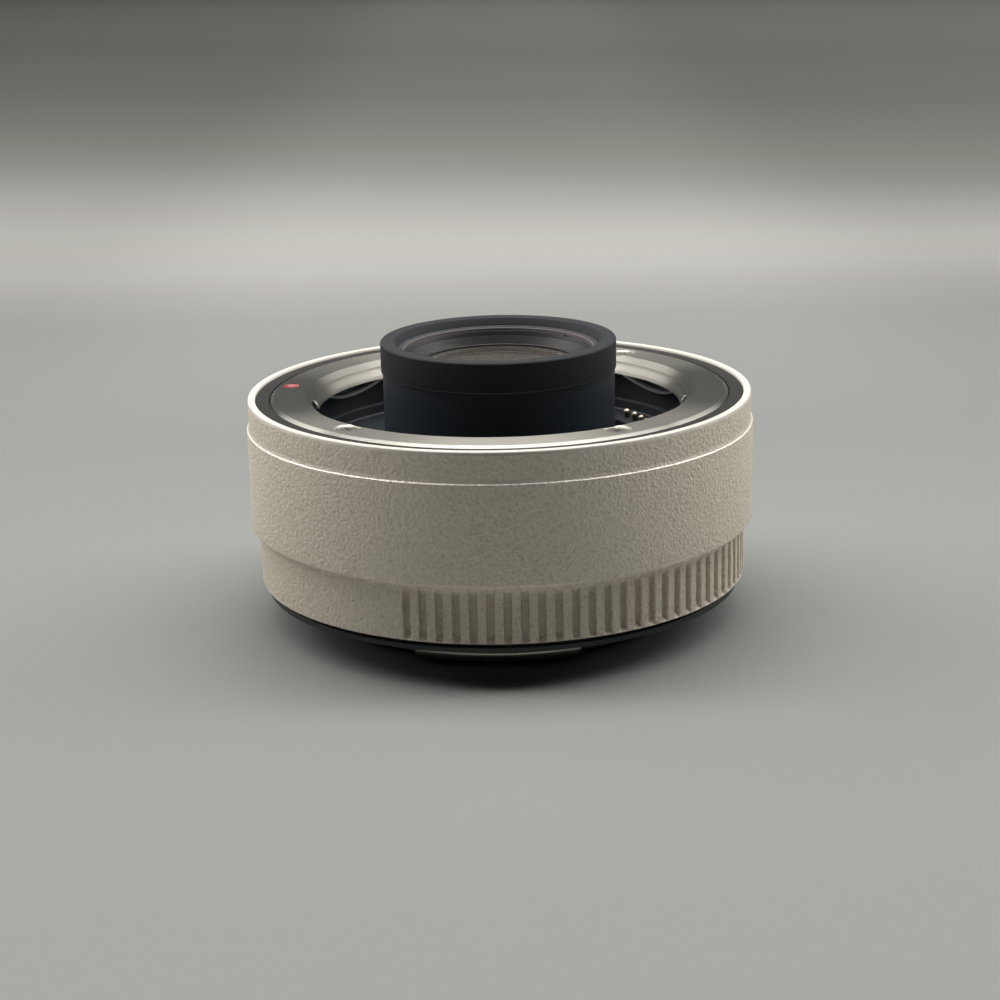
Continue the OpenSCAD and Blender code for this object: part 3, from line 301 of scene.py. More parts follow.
def ground(name, r, face_r, low, high, under, over):
    """A lens with a flat edge from low to high, and faces ground to two radii (hollow below 0)."""
    def rise(x, radius):
        deep = abs(radius) - sqrt(radius ** 2 - face_r ** 2)
        return (deep - abs(radius) + sqrt(radius ** 2 - x ** 2)) * (1 if radius > 0 else -1)
    reach = [face_r * k / 32 for k in range(33)]
    lens = turned(name, [Vector((x, low - rise(x, under))) for x in reach] + [
        Vector((r, low)), Vector((r, high))] + [Vector((x, high + rise(x, over))) for x in reach[::-1]])
    fitted(lens, coated_glass, "coated_glass", name)


ground("front_element", 13.55, 12.3, 33.0, 36.6, -60, 70)
low, high = (1000 * corner[2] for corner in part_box("rear_element"))
ground("rear_element", 13.15, 11.9, low + 0.79, high - 1.192, 90, 60)

# Plain optical glass inside: clear with a weak green cast.
optical_glass, tree, shader, place = material(
    "optical_glass", IOR=1.58, Transmission_Weight=1, Roughness=0.01)
melt = add(tree, "ShaderNodeTexNoise", {"Vector": place, "Scale": 1 / 0.02, "Detail": 1})
tint = add(tree, "ShaderNodeMix", {
    "Factor": melt.outputs["Fac"], 6: linear("#EFF4EC"), 7: linear("#F6F7F0")}, data_type="RGBA")
tree.links.new(tint.outputs[2], shader.inputs["Base Color"])
coat(optical_glass, "doublet_front", "doublet_rear", "fourth_element")


# Front retainer
# The threaded ring that holds the front glass. It is turned from aluminium and anodised black, with
# fine steps against stray light on its lip and two notches for the spanner that screws it in.
step_count, step_in, step_down = 6, 0.32, 0.18
steps = []
for i in range(step_count):
    wide, high = 13.1 - step_in * i, 38.1 - step_down * i
    steps += [(wide, high), (wide - 0.08, high - 0.22), (wide - 0.3, high - 0.16)]
retainer = turned("front_retainer", eased([
    (12.75, 36.62), (13.54, 36.62), (13.54, 38.6, 0.05), (13.3, 38.6, 0.04)] + steps + [
    (11.1, 36.98, 0.03), (11.1, 36.86)]))


def brick(angle, r0, r1, half, z0, z1, ease=0):
    """A square tool that points out from the axis at an angle, with eased edges along the radius."""
    ring = eased([(-half, z0, ease), (half, z0, ease), (half, z1, ease), (-half, z1, ease)], 4)
    count = len(ring)
    turn = Matrix.Rotation(radians(angle), 3, "Z")
    points = [turn @ Vector((r, p.x, p.y)) / 1000 for r in (r0, r1) for p in ring]
    faces = [(i, (i + 1) % count, count + (i + 1) % count, count + i) for i in range(count)]
    faces += [tuple(range(count))[::-1], tuple(range(count, 2 * count))]
    mesh = bpy.data.meshes.new("brick")
    mesh.from_pydata(points, [], faces)
    piece = bpy.data.objects.new("brick", mesh)
    bpy.context.scene.collection.objects.link(piece)
    return smoothed(piece)


joined(retainer, [brick(a, 13.1, 14, 0.6, 38.4, 39.0) for a in (40, 220)])

# Dull black anodising: dark grey, with thin pale lines on the crests of the steps.
dull_black, tree, shader, place = material("dull_black_anodising", IOR=1.6)
cut = add(tree, "ShaderNodeTexNoise", {"Vector": place, "Scale": 1 / 0.0004, "Detail": 2})
tint = add(tree, "ShaderNodeMix", {
    "Factor": cut.outputs["Fac"], 6: linear("#232425"), 7: linear("#343536")}, data_type="RGBA")
tree.links.new(tint.outputs[2], shader.inputs["Base Color"])
dull = add(tree, "ShaderNodeMapRange", {"Value": cut.outputs["Fac"], "To Min": 0.4, "To Max": 0.55})
tree.links.new(dull.outputs[0], shader.inputs["Roughness"])
fitted(retainer, dull_black, "black_alloy", "front_retainer")


# Rubber ring
# A moulded ring pushed over the tube's spigot, so that the converter can't scratch the rear glass of
# the lens that it is put on. Its outer edge is round and its mouth is bevelled.
bumper = turned("rubber_bumper", eased([
    (15.25, 35.9), (16.9, 35.9, 0.24), (16.9, 40.3, 0.35), (14.95, 40.3, 0.4), (14.3, 39.28, 0.06),
    (14.3, 39.2), (15.25, 39.2)]))

# Black rubber: no clear gloss, a moulded skin of 0.2 mm grain and specks of dust. It is paler grey on faces
# that turn upwards and in a band along its foot.
rubber, tree, shader, place = material("moulded_black_rubber", IOR=1.52, Specular_IOR_Level=0.35)
skin = add(tree, "ShaderNodeTexNoise", {"Vector": place, "Scale": 1 / 0.0002, "Detail": 3})
specks = add(tree, "ShaderNodeTexVoronoi", {"Vector": place, "Scale": 1 / 0.0011})
dust = add(tree, "ShaderNodeMapRange", {
    "Value": specks.outputs["Distance"], "From Min": 0.04, "From Max": 0.1, "To Min": 0.35, "To Max": 0})
facing = add(tree, "ShaderNodeSeparateXYZ", {
    "Vector": add(tree, "ShaderNodeNewGeometry").outputs["Normal"]})
# Paler grey on faces that turn upwards, and in a band along the foot.
upward = add(tree, "ShaderNodeMapRange", {
    "Value": facing.outputs["Z"], "From Min": 0.2, "From Max": 0.7, "To Min": 0, "To Max": 0.38})
tint = add(tree, "ShaderNodeMix", {
    "Factor": skin.outputs["Fac"], 6: linear("#161C20"), 7: linear("#242B2F")}, data_type="RGBA")
paler_upward = add(tree, "ShaderNodeMix", {
    "Factor": upward.outputs[0], 6: tint.outputs[2], 7: linear("#46474A")}, data_type="RGBA")
dusty = add(tree, "ShaderNodeMix", {
    "Factor": dust.outputs[0], 6: paler_upward.outputs[2], 7: linear("#77787A")}, data_type="RGBA")
parts = add(tree, "ShaderNodeSeparateXYZ", {"Vector": place})
foot = add(tree, "ShaderNodeMapRange", {
    "Value": parts.outputs["Z"], "From Min": 0.03602, "From Max": 0.03618, "To Min": 0.4, "To Max": 0})
seam = add(tree, "ShaderNodeMix", {
    "Factor": foot.outputs[0], 6: dusty.outputs[2], 7: linear("#8A8D8E")}, data_type="RGBA")
tree.links.new(seam.outputs[2], shader.inputs["Base Color"])
dull = add(tree, "ShaderNodeMapRange", {"Value": skin.outputs["Fac"], "To Min": 0.6, "To Max": 0.82})
tree.links.new(dull.outputs[0], shader.inputs["Roughness"])
grain = add(tree, "ShaderNodeBump", {"Height": skin.outputs["Fac"], "Strength": 0.3, "Distance": 0.00005})
tree.links.new(grain.outputs[0], shader.inputs["Normal"])
fitted(bumper, rubber, "rubber", "rubber_bumper")


# Throat liner
# The moulded cup that closes the throat round the lens tube, with a step above its floor, an opening
# for the contact block and three feet that stand on the chassis web.
liner = turned("front_baffle", eased([
    (16.9, 23.6), (28.2, 23.6), (28.2, 30.3, 0.12), (27.4, 30.3, 0.12), (27.4, 26.25, 0.08),
    (26.95, 26.2, 0.14), (26.95, 24.6, 0.35), (16.9, 24.6, 0.12)]))
opening = [-27.0 + 63.2 * i / 60 for i in range(61)]
joined(liner, [turned("opening", [Vector(p) for p in (
    (19.85, 23), (24.55, 23), (24.55, 25.5), (19.85, 25.5))], opening, whole=False)])
joined(liner, [rod(24.5, a, 1.2, 19.6, 24.1) for a in (110, 200, 290)], "UNION")

# Moulded polycarbonate: blue black with a soft shine, from a mould with a 0.25 mm spark grain.
polycarbonate, tree, shader, place = material("moulded_black_polycarbonate", IOR=1.58)
spark = add(tree, "ShaderNodeTexNoise", {"Vector": place, "Scale": 1 / 0.00025, "Detail": 2})
tint = add(tree, "ShaderNodeMix", {
    "Factor": spark.outputs["Fac"], 6: linear("#0B131C"), 7: linear("#15202C")}, data_type="RGBA")
tree.links.new(tint.outputs[2], shader.inputs["Base Color"])
dull = add(tree, "ShaderNodeMapRange", {"Value": spark.outputs["Fac"], "To Min": 0.46, "To Max": 0.6})
tree.links.new(dull.outputs[0], shader.inputs["Roughness"])
grain = add(tree, "ShaderNodeBump", {"Height": spark.outputs["Fac"], "Strength": 0.22, "Distance": 0.00004})
tree.links.new(grain.outputs[0], shader.inputs["Normal"])
fitted(liner, polycarbonate, "throat_plastic", "front_baffle")


# Contact block with its pins and springs
# A moulded block on the throat's floor that guides ten spring pins, held by a screw at each end.
# The pins are turned from brass and gold plated, and a coil of steel wire lifts each one.
coat(polycarbonate, "contact_block")

# Gold plating over nickel: pale, warm and soft. Each contact pin is painted dark below its tip: painted
# shade where the shank stands in the block.
gold, tree, shader, place = material("gold_plating", Metallic=1)
rub = add(tree, "ShaderNodeTexNoise", {"Vector": place, "Scale": 1 / 0.0003, "Detail": 2})
tint = add(tree, "ShaderNodeMix", {
    "Factor": rub.outputs["Fac"], 6: linear("#F6E6BC"), 7: linear("#FDF7E8")}, data_type="RGBA")
parts = add(tree, "ShaderNodeSeparateXYZ", {"Vector": place})
# Painted shade: the contact pins' shanks below their tips are darkened.
shank = add(tree, "ShaderNodeMapRange", {
    "Value": parts.outputs["Z"], "From Min": 0.0261, "From Max": 0.0263, "To Min": 1, "To Max": 0})
above = add(tree, "ShaderNodeMapRange", {
    "Value": parts.outputs["Z"], "From Min": 0.01, "From Max": 0.011, "To Min": 0, "To Max": 0.75})
shank_shade = add(tree, "ShaderNodeMath", {0: shank.outputs[0], 1: above.outputs[0]}, operation="MULTIPLY")
dimmed = add(tree, "ShaderNodeMix", {
    "Factor": shank_shade.outputs[0], 6: tint.outputs[2], 7: linear("#3A3020")}, data_type="RGBA")
tree.links.new(dimmed.outputs[2], shader.inputs["Base Color"])
dull = add(tree, "ShaderNodeMapRange", {"Value": rub.outputs["Fac"], "To Min": 0.38, "To Max": 0.48})
tree.links.new(dull.outputs[0], shader.inputs["Roughness"])
coat(gold, "rear_contact_pads", *["contact_pin_%d" % i for i in range(1, 11)])

# Drawn spring wire: grey steel with a soft shine.
spring_wire, tree, shader, place = material("drawn_spring_wire", Metallic=1)
draw = add(tree, "ShaderNodeTexNoise", {"Vector": place, "Scale": 1 / 0.00015})
tint = add(tree, "ShaderNodeMix", {
    "Factor": draw.outputs["Fac"], 6: linear("#8E8D8A"), 7: linear("#B5B3AE")}, data_type="RGBA")
tree.links.new(tint.outputs[2], shader.inputs["Base Color"])
shader.inputs["Roughness"].default_value = 0.3


def sprung(node):
    """A coil spring with a mesh of its own, in the stead of its CAD node."""
    coil = bpy.data.objects.new(node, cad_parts[node].data.copy())
    bpy.context.scene.collection.objects.link(coil)
    fitted(smoothed(coil), spring_wire, "spring_wire", node)
    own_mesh(coil)


for i in range(1, 11):
    sprung("contact_spring_%d" % i)


# Leaf springs
# Three strips of blackened spring steel, bowed under the lugs. They pull a lens onto the ring. Their
# edges are painted pale grey: a painted highlight.
blued_steel, tree, shader, place = material("blackened_spring_steel", Metallic=0.85)
roll = add(tree, "ShaderNodeTexNoise", {"Vector": place, "Scale": 1 / 0.0003, "Detail": 2})
# Painted highlight: pointed edges are lightened to pale grey.
painted_highlight = add(tree, "ShaderNodeMapRange", {
    "Value": add(tree, "ShaderNodeNewGeometry").outputs["Pointiness"],
    "From Min": 0.5, "From Max": 0.6, "To Min": 0, "To Max": 1})
tint = add(tree, "ShaderNodeMix", {
    "Factor": roll.outputs["Fac"], 6: linear("#34373A"), 7: linear("#4E5154")}, data_type="RGBA")
edge = add(tree, "ShaderNodeMix", {
    "Factor": painted_highlight.outputs[0], 6: tint.outputs[2], 7: linear("#B4B5B6")}, data_type="RGBA")
tree.links.new(edge.outputs[2], shader.inputs["Base Color"])
shader.inputs["Roughness"].default_value = 0.36
coat(blued_steel, "mount_springs")
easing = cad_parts["mount_springs"].modifiers.new("eased_edges", "BEVEL")
easing.width, easing.segments, easing.limit_method = 0.00006, 2, "ANGLE"


# Lens mount
# The ring that a lens locks into: three lugs under a flat face, turned and milled from stainless
# steel. Four countersunk screws hold it, and the lens's lock pin rises through its face.
lug_middles = (28, 148, 268)
latch_turn, lock_pin_r = 82, 30
index_turn, index_r = 171, 30.75
screw_turns, screw_r = (-134, -58, 49.5, 118), 29.6


def lug_edge(angle, half, outer, inner, ease):
    """Radius of the lugs' edge at an angle: three lugs with round corners on a plain circle."""
    away = min(abs((angle - middle + 180) % 360 - 180) for middle in lug_middles)
    into = (half - away) * pi / 180 * outer
    if into <= 0:
        return outer
    if into >= ease:
        return inner
    side = 1 if inner > outer else -1
    return inner - side * (ease - sqrt(ease * ease - (ease - into) ** 2))


def lug_turn(half):
    """The angles for turning a ring with lugs, closer together round the lugs' corners."""
    angles = {1.25 * i for i in range(288)}
    corner = (-0.02, 0, 0.02, 0.08, 0.2, 0.4, 0.7, 1.05, 1.5, 2)
    for middle in lug_middles:
        for side in (-1, 1):
            angles |= {middle + side * (half - k) for k in corner}
    return sorted(a % 360 for a in angles)


throat_r, lug_r, lug_half = 27.0, 26.0, 32


def lugged(r, z, angle):
    """Draws the throat's wall in at the lugs."""
    if r < throat_r - 0.05:
        r = max(r, min(throat_r, lug_edge(angle, lug_half, throat_r, lug_r, 0.5) + r - lug_r))
    return r, z


mount = turned("lens_mount", eased([
    (lug_r, 30.3, 0.12), (33.0, 30.3), (33.0, 32.3), (32.88, 32.47, 0.08), (32.3, 32.8, 0.06),
    (28.05, 32.8, 0.15), (throat_r, 32.1, 0.03), (throat_r, 31.66), (26.6, 31.6, 0.12),
    (26.12, 30.95, 0.4), (lug_r, 30.5)], 4), lug_turn(lug_half), lugged)
shank_r, head_r, mouth_r, head_z = 0.8, 1.64, 2.24, 32.6
holes = []
for a in screw_turns:
    holes += [rod(screw_r, a, shank_r, 30, 31.9), rod(screw_r, a, shank_r, 31.7, head_z, head_r),
              rod(screw_r, a, head_r, 32.5, 32.62), rod(screw_r, a, head_r, head_z, 33.0, mouth_r)]
holes += [rod(lock_pin_r, latch_turn, 1.15, 30, 33), rod(index_r, index_turn, 1.25, 32.3, 33)]
for tool in holes:
    joined(mount, [tool])

# Turned stainless steel: lathe marks round the axis draw each reflection out across them, so the
# face is dark with a bright fan where it faces the lamp, and the bore, cut coarser, glows all round.
# Real marks are 0.05 mm apart, drawn at 0.2.
turned_steel, tree, shader, place = material(
    "turned_stainless_steel", Metallic=1, Anisotropic=1, Anisotropic_Rotation=0.25)
parts = add(tree, "ShaderNodeSeparateXYZ", {"Vector": place})
flat = add(tree, "ShaderNodeCombineXYZ", {"X": parts.outputs["X"], "Y": parts.outputs["Y"]})
radius = add(tree, "ShaderNodeVectorMath", {0: flat.outputs[0]}, operation="LENGTH")
section = add(tree, "ShaderNodeCombineXYZ", {"X": radius.outputs["Value"], "Y": parts.outputs["Z"]})
marks = add(tree, "ShaderNodeTexNoise", {
    "Vector": section.outputs[0], "Scale": 1 / 0.0002, "Detail": 2}, noise_dimensions="2D")
wipe = add(tree, "ShaderNodeTexNoise", {"Vector": place, "Scale": 1 / 0.006, "Detail": 3})
tint = add(tree, "ShaderNodeMix", {
    "Factor": marks.outputs["Fac"], 6: linear("#B7B4AB"), 7: linear("#CDCAC1")}, data_type="RGBA")
tree.links.new(tint.outputs[2], shader.inputs["Base Color"])
dull = add(tree, "ShaderNodeMapRange", {"Value": wipe.outputs["Fac"], "To Min": 0.3, "To Max": 0.33})
bored = add(tree, "ShaderNodeMapRange", {
    "Value": radius.outputs["Value"], "From Min": 0.0279, "From Max": 0.0281, "To Min": 0.12, "To Max": 0})
both = add(tree, "ShaderNodeMath", {0: dull.outputs[0], 1: bored.outputs[0]}, operation="ADD")
tree.links.new(both.outputs[0], shader.inputs["Roughness"])
lathe = add(tree, "ShaderNodeBump", {"Height": marks.outputs["Fac"], "Strength": 0.08, "Distance": 0.00004})
tree.links.new(lathe.outputs[0], shader.inputs["Normal"])
around = add(tree, "ShaderNodeTangent", direction_type="RADIAL", axis="Z")
tree.links.new(around.outputs[0], shader.inputs["Tangent"])
fitted(mount, turned_steel, "steel", "lens_mount")


# Lens mount screws
# Four countersunk cross-head screws of nickel plated steel, driven a little below the face.
def cross(place_r, angle, spin, r, z, depth):
    """The tapered cross that a driver fits, as two blades through one point."""
    x, y = place_r * cos(radians(angle)), place_r * sin(radians(angle))
    blades = []
    for turn in (spin, spin + 90):
        points, faces = [], []
        for height, half_l, half_w in ((z - depth, 0.45 * r, 0.11 * r), (z + 0.2, 0.68 * r, 0.17 * r)):
            for u, v in ((-half_l, -half_w), (half_l, -half_w), (half_l, half_w), (-half_l, half_w)):
                c, s = cos(radians(turn)), sin(radians(turn))
                points.append(((x + u * c - v * s) / 1000, (y + u * s + v * c) / 1000, height / 1000))
        faces = [(3, 2, 1, 0), (4, 5, 6, 7)] + [(i, (i + 1) % 4, 4 + (i + 1) % 4, 4 + i) for i in range(4)]
        mesh = bpy.data.meshes.new("blade")
        mesh.from_pydata(points, [], faces)
        blades.append(bpy.data.objects.new("blade", mesh))
        bpy.context.scene.collection.objects.link(blades[-1])
    return blades


def screw(name, outline, place_r, angle, spin, r, z, depth):
    """A screw turned from an outline about its own axis, with a cross in its head."""
    body = turned(name, outline, [7.5 * i for i in range(48)])
    body.data.transform(Matrix.Translation((
        place_r * cos(radians(angle)) / 1000, place_r * sin(radians(angle)) / 1000, 0)))
    for blade in cross(place_r, angle, spin, r, z, depth):
        joined(body, [blade])
    return body


screws = []
for a, spin in zip(screw_turns, (20, 65, 38, 5)):
    screws.append(screw("lens_mount_screws", eased([
        (0, 28.2), (0.7, 28.2, 0.2), (0.7, 31.74), (1.58, 32.5, 0.05), (1.4, head_z, 0.05), (0, head_z)],
        3), screw_r, a, spin, 1.5, head_z, 0.4))


def gathered(pieces, name):
    """Several like pieces as one object."""
    work = bmesh.new()
    for piece in pieces:
        work.from_mesh(piece.data)
        bpy.data.meshes.remove(piece.data)
    mesh = bpy.data.meshes.new(name)
    work.to_mesh(mesh)
    work.free()
    piece = bpy.data.objects.new(name, mesh)
    bpy.context.scene.collection.objects.link(piece)
    return smoothed(piece)


fitted(gathered(screws, "lens_mount_screws"), nickel_plate, "screw_steel", "lens_mount_screws")


# Lens index mark
# A dot of red enamel in a shallow hole of the steel face, sunk in the middle where it dried. It lines
# up with the mark on a lens.
dish = eased([(1.2, 32.76), (0.78, 32.47, 0.1), (0, 32.44)])
dot = turned("front_index_dot", [Vector((0, 32.3)), Vector((1.2, 32.3))] + dish,
             [7.5 * i for i in range(48)])
dot.data.transform(Matrix.Translation((
    index_r * cos(radians(index_turn)) / 1000, index_r * sin(radians(index_turn)) / 1000, 0)))

# Stove enamel: deep red with a soft gloss, a little uneven where it was filled in.
red_enamel, tree, shader, place = material("red_enamel", IOR=1.5, Coat_Weight=0.5, Coat_Roughness=0.3)
pool = add(tree, "ShaderNodeTexNoise", {"Vector": place, "Scale": 1 / 0.0009, "Detail": 2})
tint = add(tree, "ShaderNodeMix", {
    "Factor": pool.outputs["Fac"], 6: linear("#9C2329"), 7: linear("#BC3E43")}, data_type="RGBA")
tree.links.new(tint.outputs[2], shader.inputs["Base Color"])
shader.inputs["Roughness"].default_value = 0.4
settle = add(tree, "ShaderNodeBump", {"Height": pool.outputs["Fac"], "Strength": 0.2, "Distance": 0.00008})
tree.links.new(settle.outputs[0], shader.inputs["Normal"])
fitted(dot, red_enamel, "red_enamel", "front_index_dot")


# Lens latch
# A moulded slider in the barrel's side, ribbed for the thumb, whose arm carries the steel lock pin.
# Pushed towards the camera it draws the pin below the face; the coil spring lifts both again.
back_r, crest_r, dip_r = 35.22, 36.3, 35.98
foot_z, top_z, rib = 21.6, 28.6, 7 / 11
arm_low, arm_high = 24.6, 26.4
ribs = [(back_r, foot_z)]
for i in range(5):
    low = foot_z + rib * (2 * i + 1)
    ribs += [(crest_r, low - rib, 0.2), (crest_r, low, 0.2), (dip_r, low + 0.1, 0.1),
             (dip_r, low + rib - 0.1, 0.1)]
ribs += [(crest_r, top_z - rib, 0.2), (crest_r, top_z, 0.25), (back_r, top_z)]
half = degrees(asin(5.95 / crest_r))
slider = turned("release_lever", eased(ribs, 4),
                [latch_turn - half + 2 * half * i / 24 for i in range(25)], whole=False)
arm = turned("arm", [Vector(p) for p in (
    (28.5, arm_low), (32.6, arm_low), (32.6, arm_high), (28.5, arm_high))],
    [latch_turn - 7 + 14 * i / 20 for i in range(21)], whole=False)
joined(slider, [brick(latch_turn, 31, 35.75, 4.0, arm_low, arm_high, 0.15)], "UNION")
joined(slider, [arm], "UNION")
joined(slider, [rod(lock_pin_r, latch_turn, 1.125, 24, 27)])

# Moulded nylon with glass fibre: dark grey, dull, with a 0.3 mm mould grain.
nylon, tree, shader, place = material("glass_filled_nylon", IOR=1.53)
fibre = add(tree, "ShaderNodeTexNoise", {"Vector": place, "Scale": 1 / 0.0003, "Detail": 3})
tint = add(tree, "ShaderNodeMix", {
    "Factor": fibre.outputs["Fac"], 6: linear("#1E1E20"), 7: linear("#303033")}, data_type="RGBA")
tree.links.new(tint.outputs[2], shader.inputs["Base Color"])
dull = add(tree, "ShaderNodeMapRange", {"Value": fibre.outputs["Fac"], "To Min": 0.45, "To Max": 0.62})
tree.links.new(dull.outputs[0], shader.inputs["Roughness"])
grain = add(tree, "ShaderNodeBump", {"Height": fibre.outputs["Fac"], "Strength": 0.3, "Distance": 0.00006})
tree.links.new(grain.outputs[0], shader.inputs["Normal"])
fitted(slider, nylon, "slider_plastic", "release_lever", body="latch")

# Hardened pin steel: ground bright, with marks round the pin about 0.1 mm apart.
pin_steel, tree, shader, place = material("ground_pin_steel", Metallic=1)
parts = add(tree, "ShaderNodeSeparateXYZ", {"Vector": place})
rings = add(tree, "ShaderNodeTexNoise", {
    "W": parts.outputs["Z"], "Scale": 1 / 0.0001}, noise_dimensions="1D")
tint = add(tree, "ShaderNodeMix", {
    "Factor": rings.outputs["Fac"], 6: linear("#A9A7A3"), 7: linear("#CFCDC8")}, data_type="RGBA")
tree.links.new(tint.outputs[2], shader.inputs["Base Color"])
shader.inputs["Roughness"].default_value = 0.2
coat(pin_steel, "lock_pin")
sprung("lever_spring")


# Main barrel
# The white outer shell, turned from aluminium and sprayed with a crinkle paint. A ledge runs round it
# below the front band, its rim is left smooth, and a pocket in its back takes the release slider.
inner_r, barrel_r, band_r, rim_bore_r = 34.0, 36.4, 36.1, 35.05
seam_z, rim_z = 14.4, 32.9
barrel = turned("main_barrel", eased([
    (inner_r, seam_z), (barrel_r, seam_z, 0.5), (barrel_r, 28.52, 0.05), (36.2, 28.63, 0.1),
    (band_r, 29.1, 0.1), (band_r, rim_z, 0.2), (rim_bore_r, rim_z, 0.22), (rim_bore_r, 29.8),
    (inner_r, 29.8)]))
side = degrees(asin(6.2 / 35.8))
pocket = turned("pocket", [Vector(p) for p in ((35.0, 19.4), (38, 19.4), (38, 28.8), (35.0, 28.8))],
                [latch_turn - side + 2 * side * i / 24 for i in range(25)], whole=False)
joined(barrel, [pocket])
joined(barrel, [brick(latch_turn, 33, 36, 4.2, 22.4, 26.6, 0.3)])

# Crinkle paint: warm white and satin. It dries into worm-like grains about 0.5 mm long and 0.05 mm
# high, with finer pimples of 0.3 mm between them. It is darker in the dips of its grain. Painted shade
# darkens the grip a little and its flutes most of all, and a painted highlight, metallic and near white,
# makes the ledge a bright band.
crinkle_paint, tree, shader, place = material("white_crinkle_paint", IOR=1.5, Specular_IOR_Level=0.45)
worms = add(tree, "ShaderNodeTexNoise", {
    "Vector": place, "Scale": 1 / 0.0005, "Detail": 1, "Roughness": 0.5, "Distortion": 0.3})
pimples = add(tree, "ShaderNodeTexNoise", {"Vector": place, "Scale": 1 / 0.0003, "Detail": 1})
heap = add(tree, "ShaderNodeMath", {0: pimples.outputs["Fac"], 1: 0.5, 2: worms.outputs["Fac"]},
           operation="MULTIPLY_ADD")
parts = add(tree, "ShaderNodeSeparateXYZ", {"Vector": place})
rough_part = add(tree, "ShaderNodeMapRange", {
    "Value": parts.outputs["Z"], "From Min": 0.0324, "From Max": 0.0327, "To Min": 1, "To Max": 0})
relief = add(tree, "ShaderNodeMath", {0: heap.outputs[0], 1: rough_part.outputs[0]}, operation="MULTIPLY")
drift = add(tree, "ShaderNodeTexNoise", {"Vector": place, "Scale": 1 / 0.03, "Detail": 3})
tone = add(tree, "ShaderNodeMix", {
    "Factor": drift.outputs["Fac"], 6: linear("#EFE3D1"), 7: linear("#F6ECDC")}, data_type="RGBA")
# The paint is darker in the dips of its grain.
dips = add(tree, "ShaderNodeMapRange", {
    "Value": relief.outputs[0], "From Min": 0.45, "From Max": 0.8, "To Min": 0.3, "To Max": 0})
darker_dips = add(tree, "ShaderNodeMix", {
    "Factor": dips.outputs[0], 6: tone.outputs[2], 7: linear("#9C917F")}, data_type="RGBA")
flat = add(tree, "ShaderNodeCombineXYZ", {"X": parts.outputs["X"], "Y": parts.outputs["Y"]})
radius = add(tree, "ShaderNodeVectorMath", {0: flat.outputs[0]}, operation="LENGTH")
# Painted shade: the paint is darkened in the flutes, and less on the rest of the grip below the seam.
sunk = add(tree, "ShaderNodeMapRange", {
    "Value": radius.outputs["Value"], "From Min": 0.0347, "From Max": 0.0351, "To Min": 0.42,
    "To Max": 0.14})
below = add(tree, "ShaderNodeMath", {0: parts.outputs["Z"], 1: 0.0144}, operation="LESS_THAN")
painted_shade = add(tree, "ShaderNodeMath", {0: sunk.outputs[0], 1: below.outputs[0]}, operation="MULTIPLY")
shaded = add(tree, "ShaderNodeMix", {
    "Factor": painted_shade.outputs[0], 6: darker_dips.outputs[2], 7: linear("#8A7E6E")}, data_type="RGBA")
with_rim = add(tree, "ShaderNodeMix", {
    "Factor": rough_part.outputs[0], 6: linear("#F7F1E7"), 7: shaded.outputs[2]}, data_type="RGBA")
# Painted highlight: the ledge is made metallic and near white, so that it shines as a bright band.
ledge = add(tree, "ShaderNodeMapRange", {
    "Value": parts.outputs["Z"], "From Min": 0.02848, "From Max": 0.02852, "To Min": 0, "To Max": 0.8})
upper = add(tree, "ShaderNodeMapRange", {
    "Value": parts.outputs["Z"], "From Min": 0.0287, "From Max": 0.029, "To Min": 1, "To Max": 0})
highlight_band = add(tree, "ShaderNodeMath", {0: ledge.outputs[0], 1: upper.outputs[0]}, operation="MULTIPLY")
tree.links.new(highlight_band.outputs[0], shader.inputs["Metallic"])
ledge_highlight = add(tree, "ShaderNodeMix", {
    "Factor": highlight_band.outputs[0], 6: with_rim.outputs[2], 7: linear("#FBF6EE")}, data_type="RGBA")
tree.links.new(ledge_highlight.outputs[2], shader.inputs["Base Color"])
dull = add(tree, "ShaderNodeMapRange", {"Value": relief.outputs[0], "To Min": 0.44, "To Max": 0.6})
tree.links.new(dull.outputs[0], shader.inputs["Roughness"])
crinkle = add(tree, "ShaderNodeBump", {"Height": relief.outputs[0], "Strength": 1, "Distance": 0.00017})
tree.links.new(crinkle.outputs[0], shader.inputs["Normal"])
fitted(barrel, crinkle_paint, "white_paint", "main_barrel")


# Grip ring
# The ring below the main barrel, painted with it. Two stretches of milled flutes give a hold for
# turning the converter in its mount. One flute is left out at the back for the red index bead.
grip_r, grip_foot_z = 35.2, 6.3
bead_place = (180, 11)
flutes = [-111.7 + 3.75 * i + side for side in (0, 180) for i in range(31) if (side, i) != bead_place]
flute_depth, flute_half = 0.6, degrees(0.5 / grip_r)
flute_angles = set()
for middle in flutes:
    for k in (0, 0.4, 0.7, 0.8, 0.86, 0.92, 0.98, 1.04, 1.1, 1.16, 1.22):
        flute_angles |= {round((middle + side * k * flute_half) % 360, 5) for side in (-1, 1)}
for i in range(288):
    a = 1.25 * i
    if min(abs((a - m + 180) % 360 - 180) for m in flutes) > flute_half * 1.6:
        flute_angles.add(a)


def fluted(r, z, angle):
    """Sinks the outer wall into the flutes, which have round lips and run out at both ends."""
    away = min(abs((angle - m + 180) % 360 - 180) for m in flutes) / flute_half
    if r < 34 or away >= 1.22:
        return r, z
    across, top, foot = (min(1, max(0, part)) for part in (
        (1.22 - away) / 0.42, (13.8 - z) / 1.3, (z - 6.4) / 1.2))
    return r - flute_depth * (1 - cos(across * pi)) / 2 * sin(top * pi / 2) * sin(foot * pi / 2), z


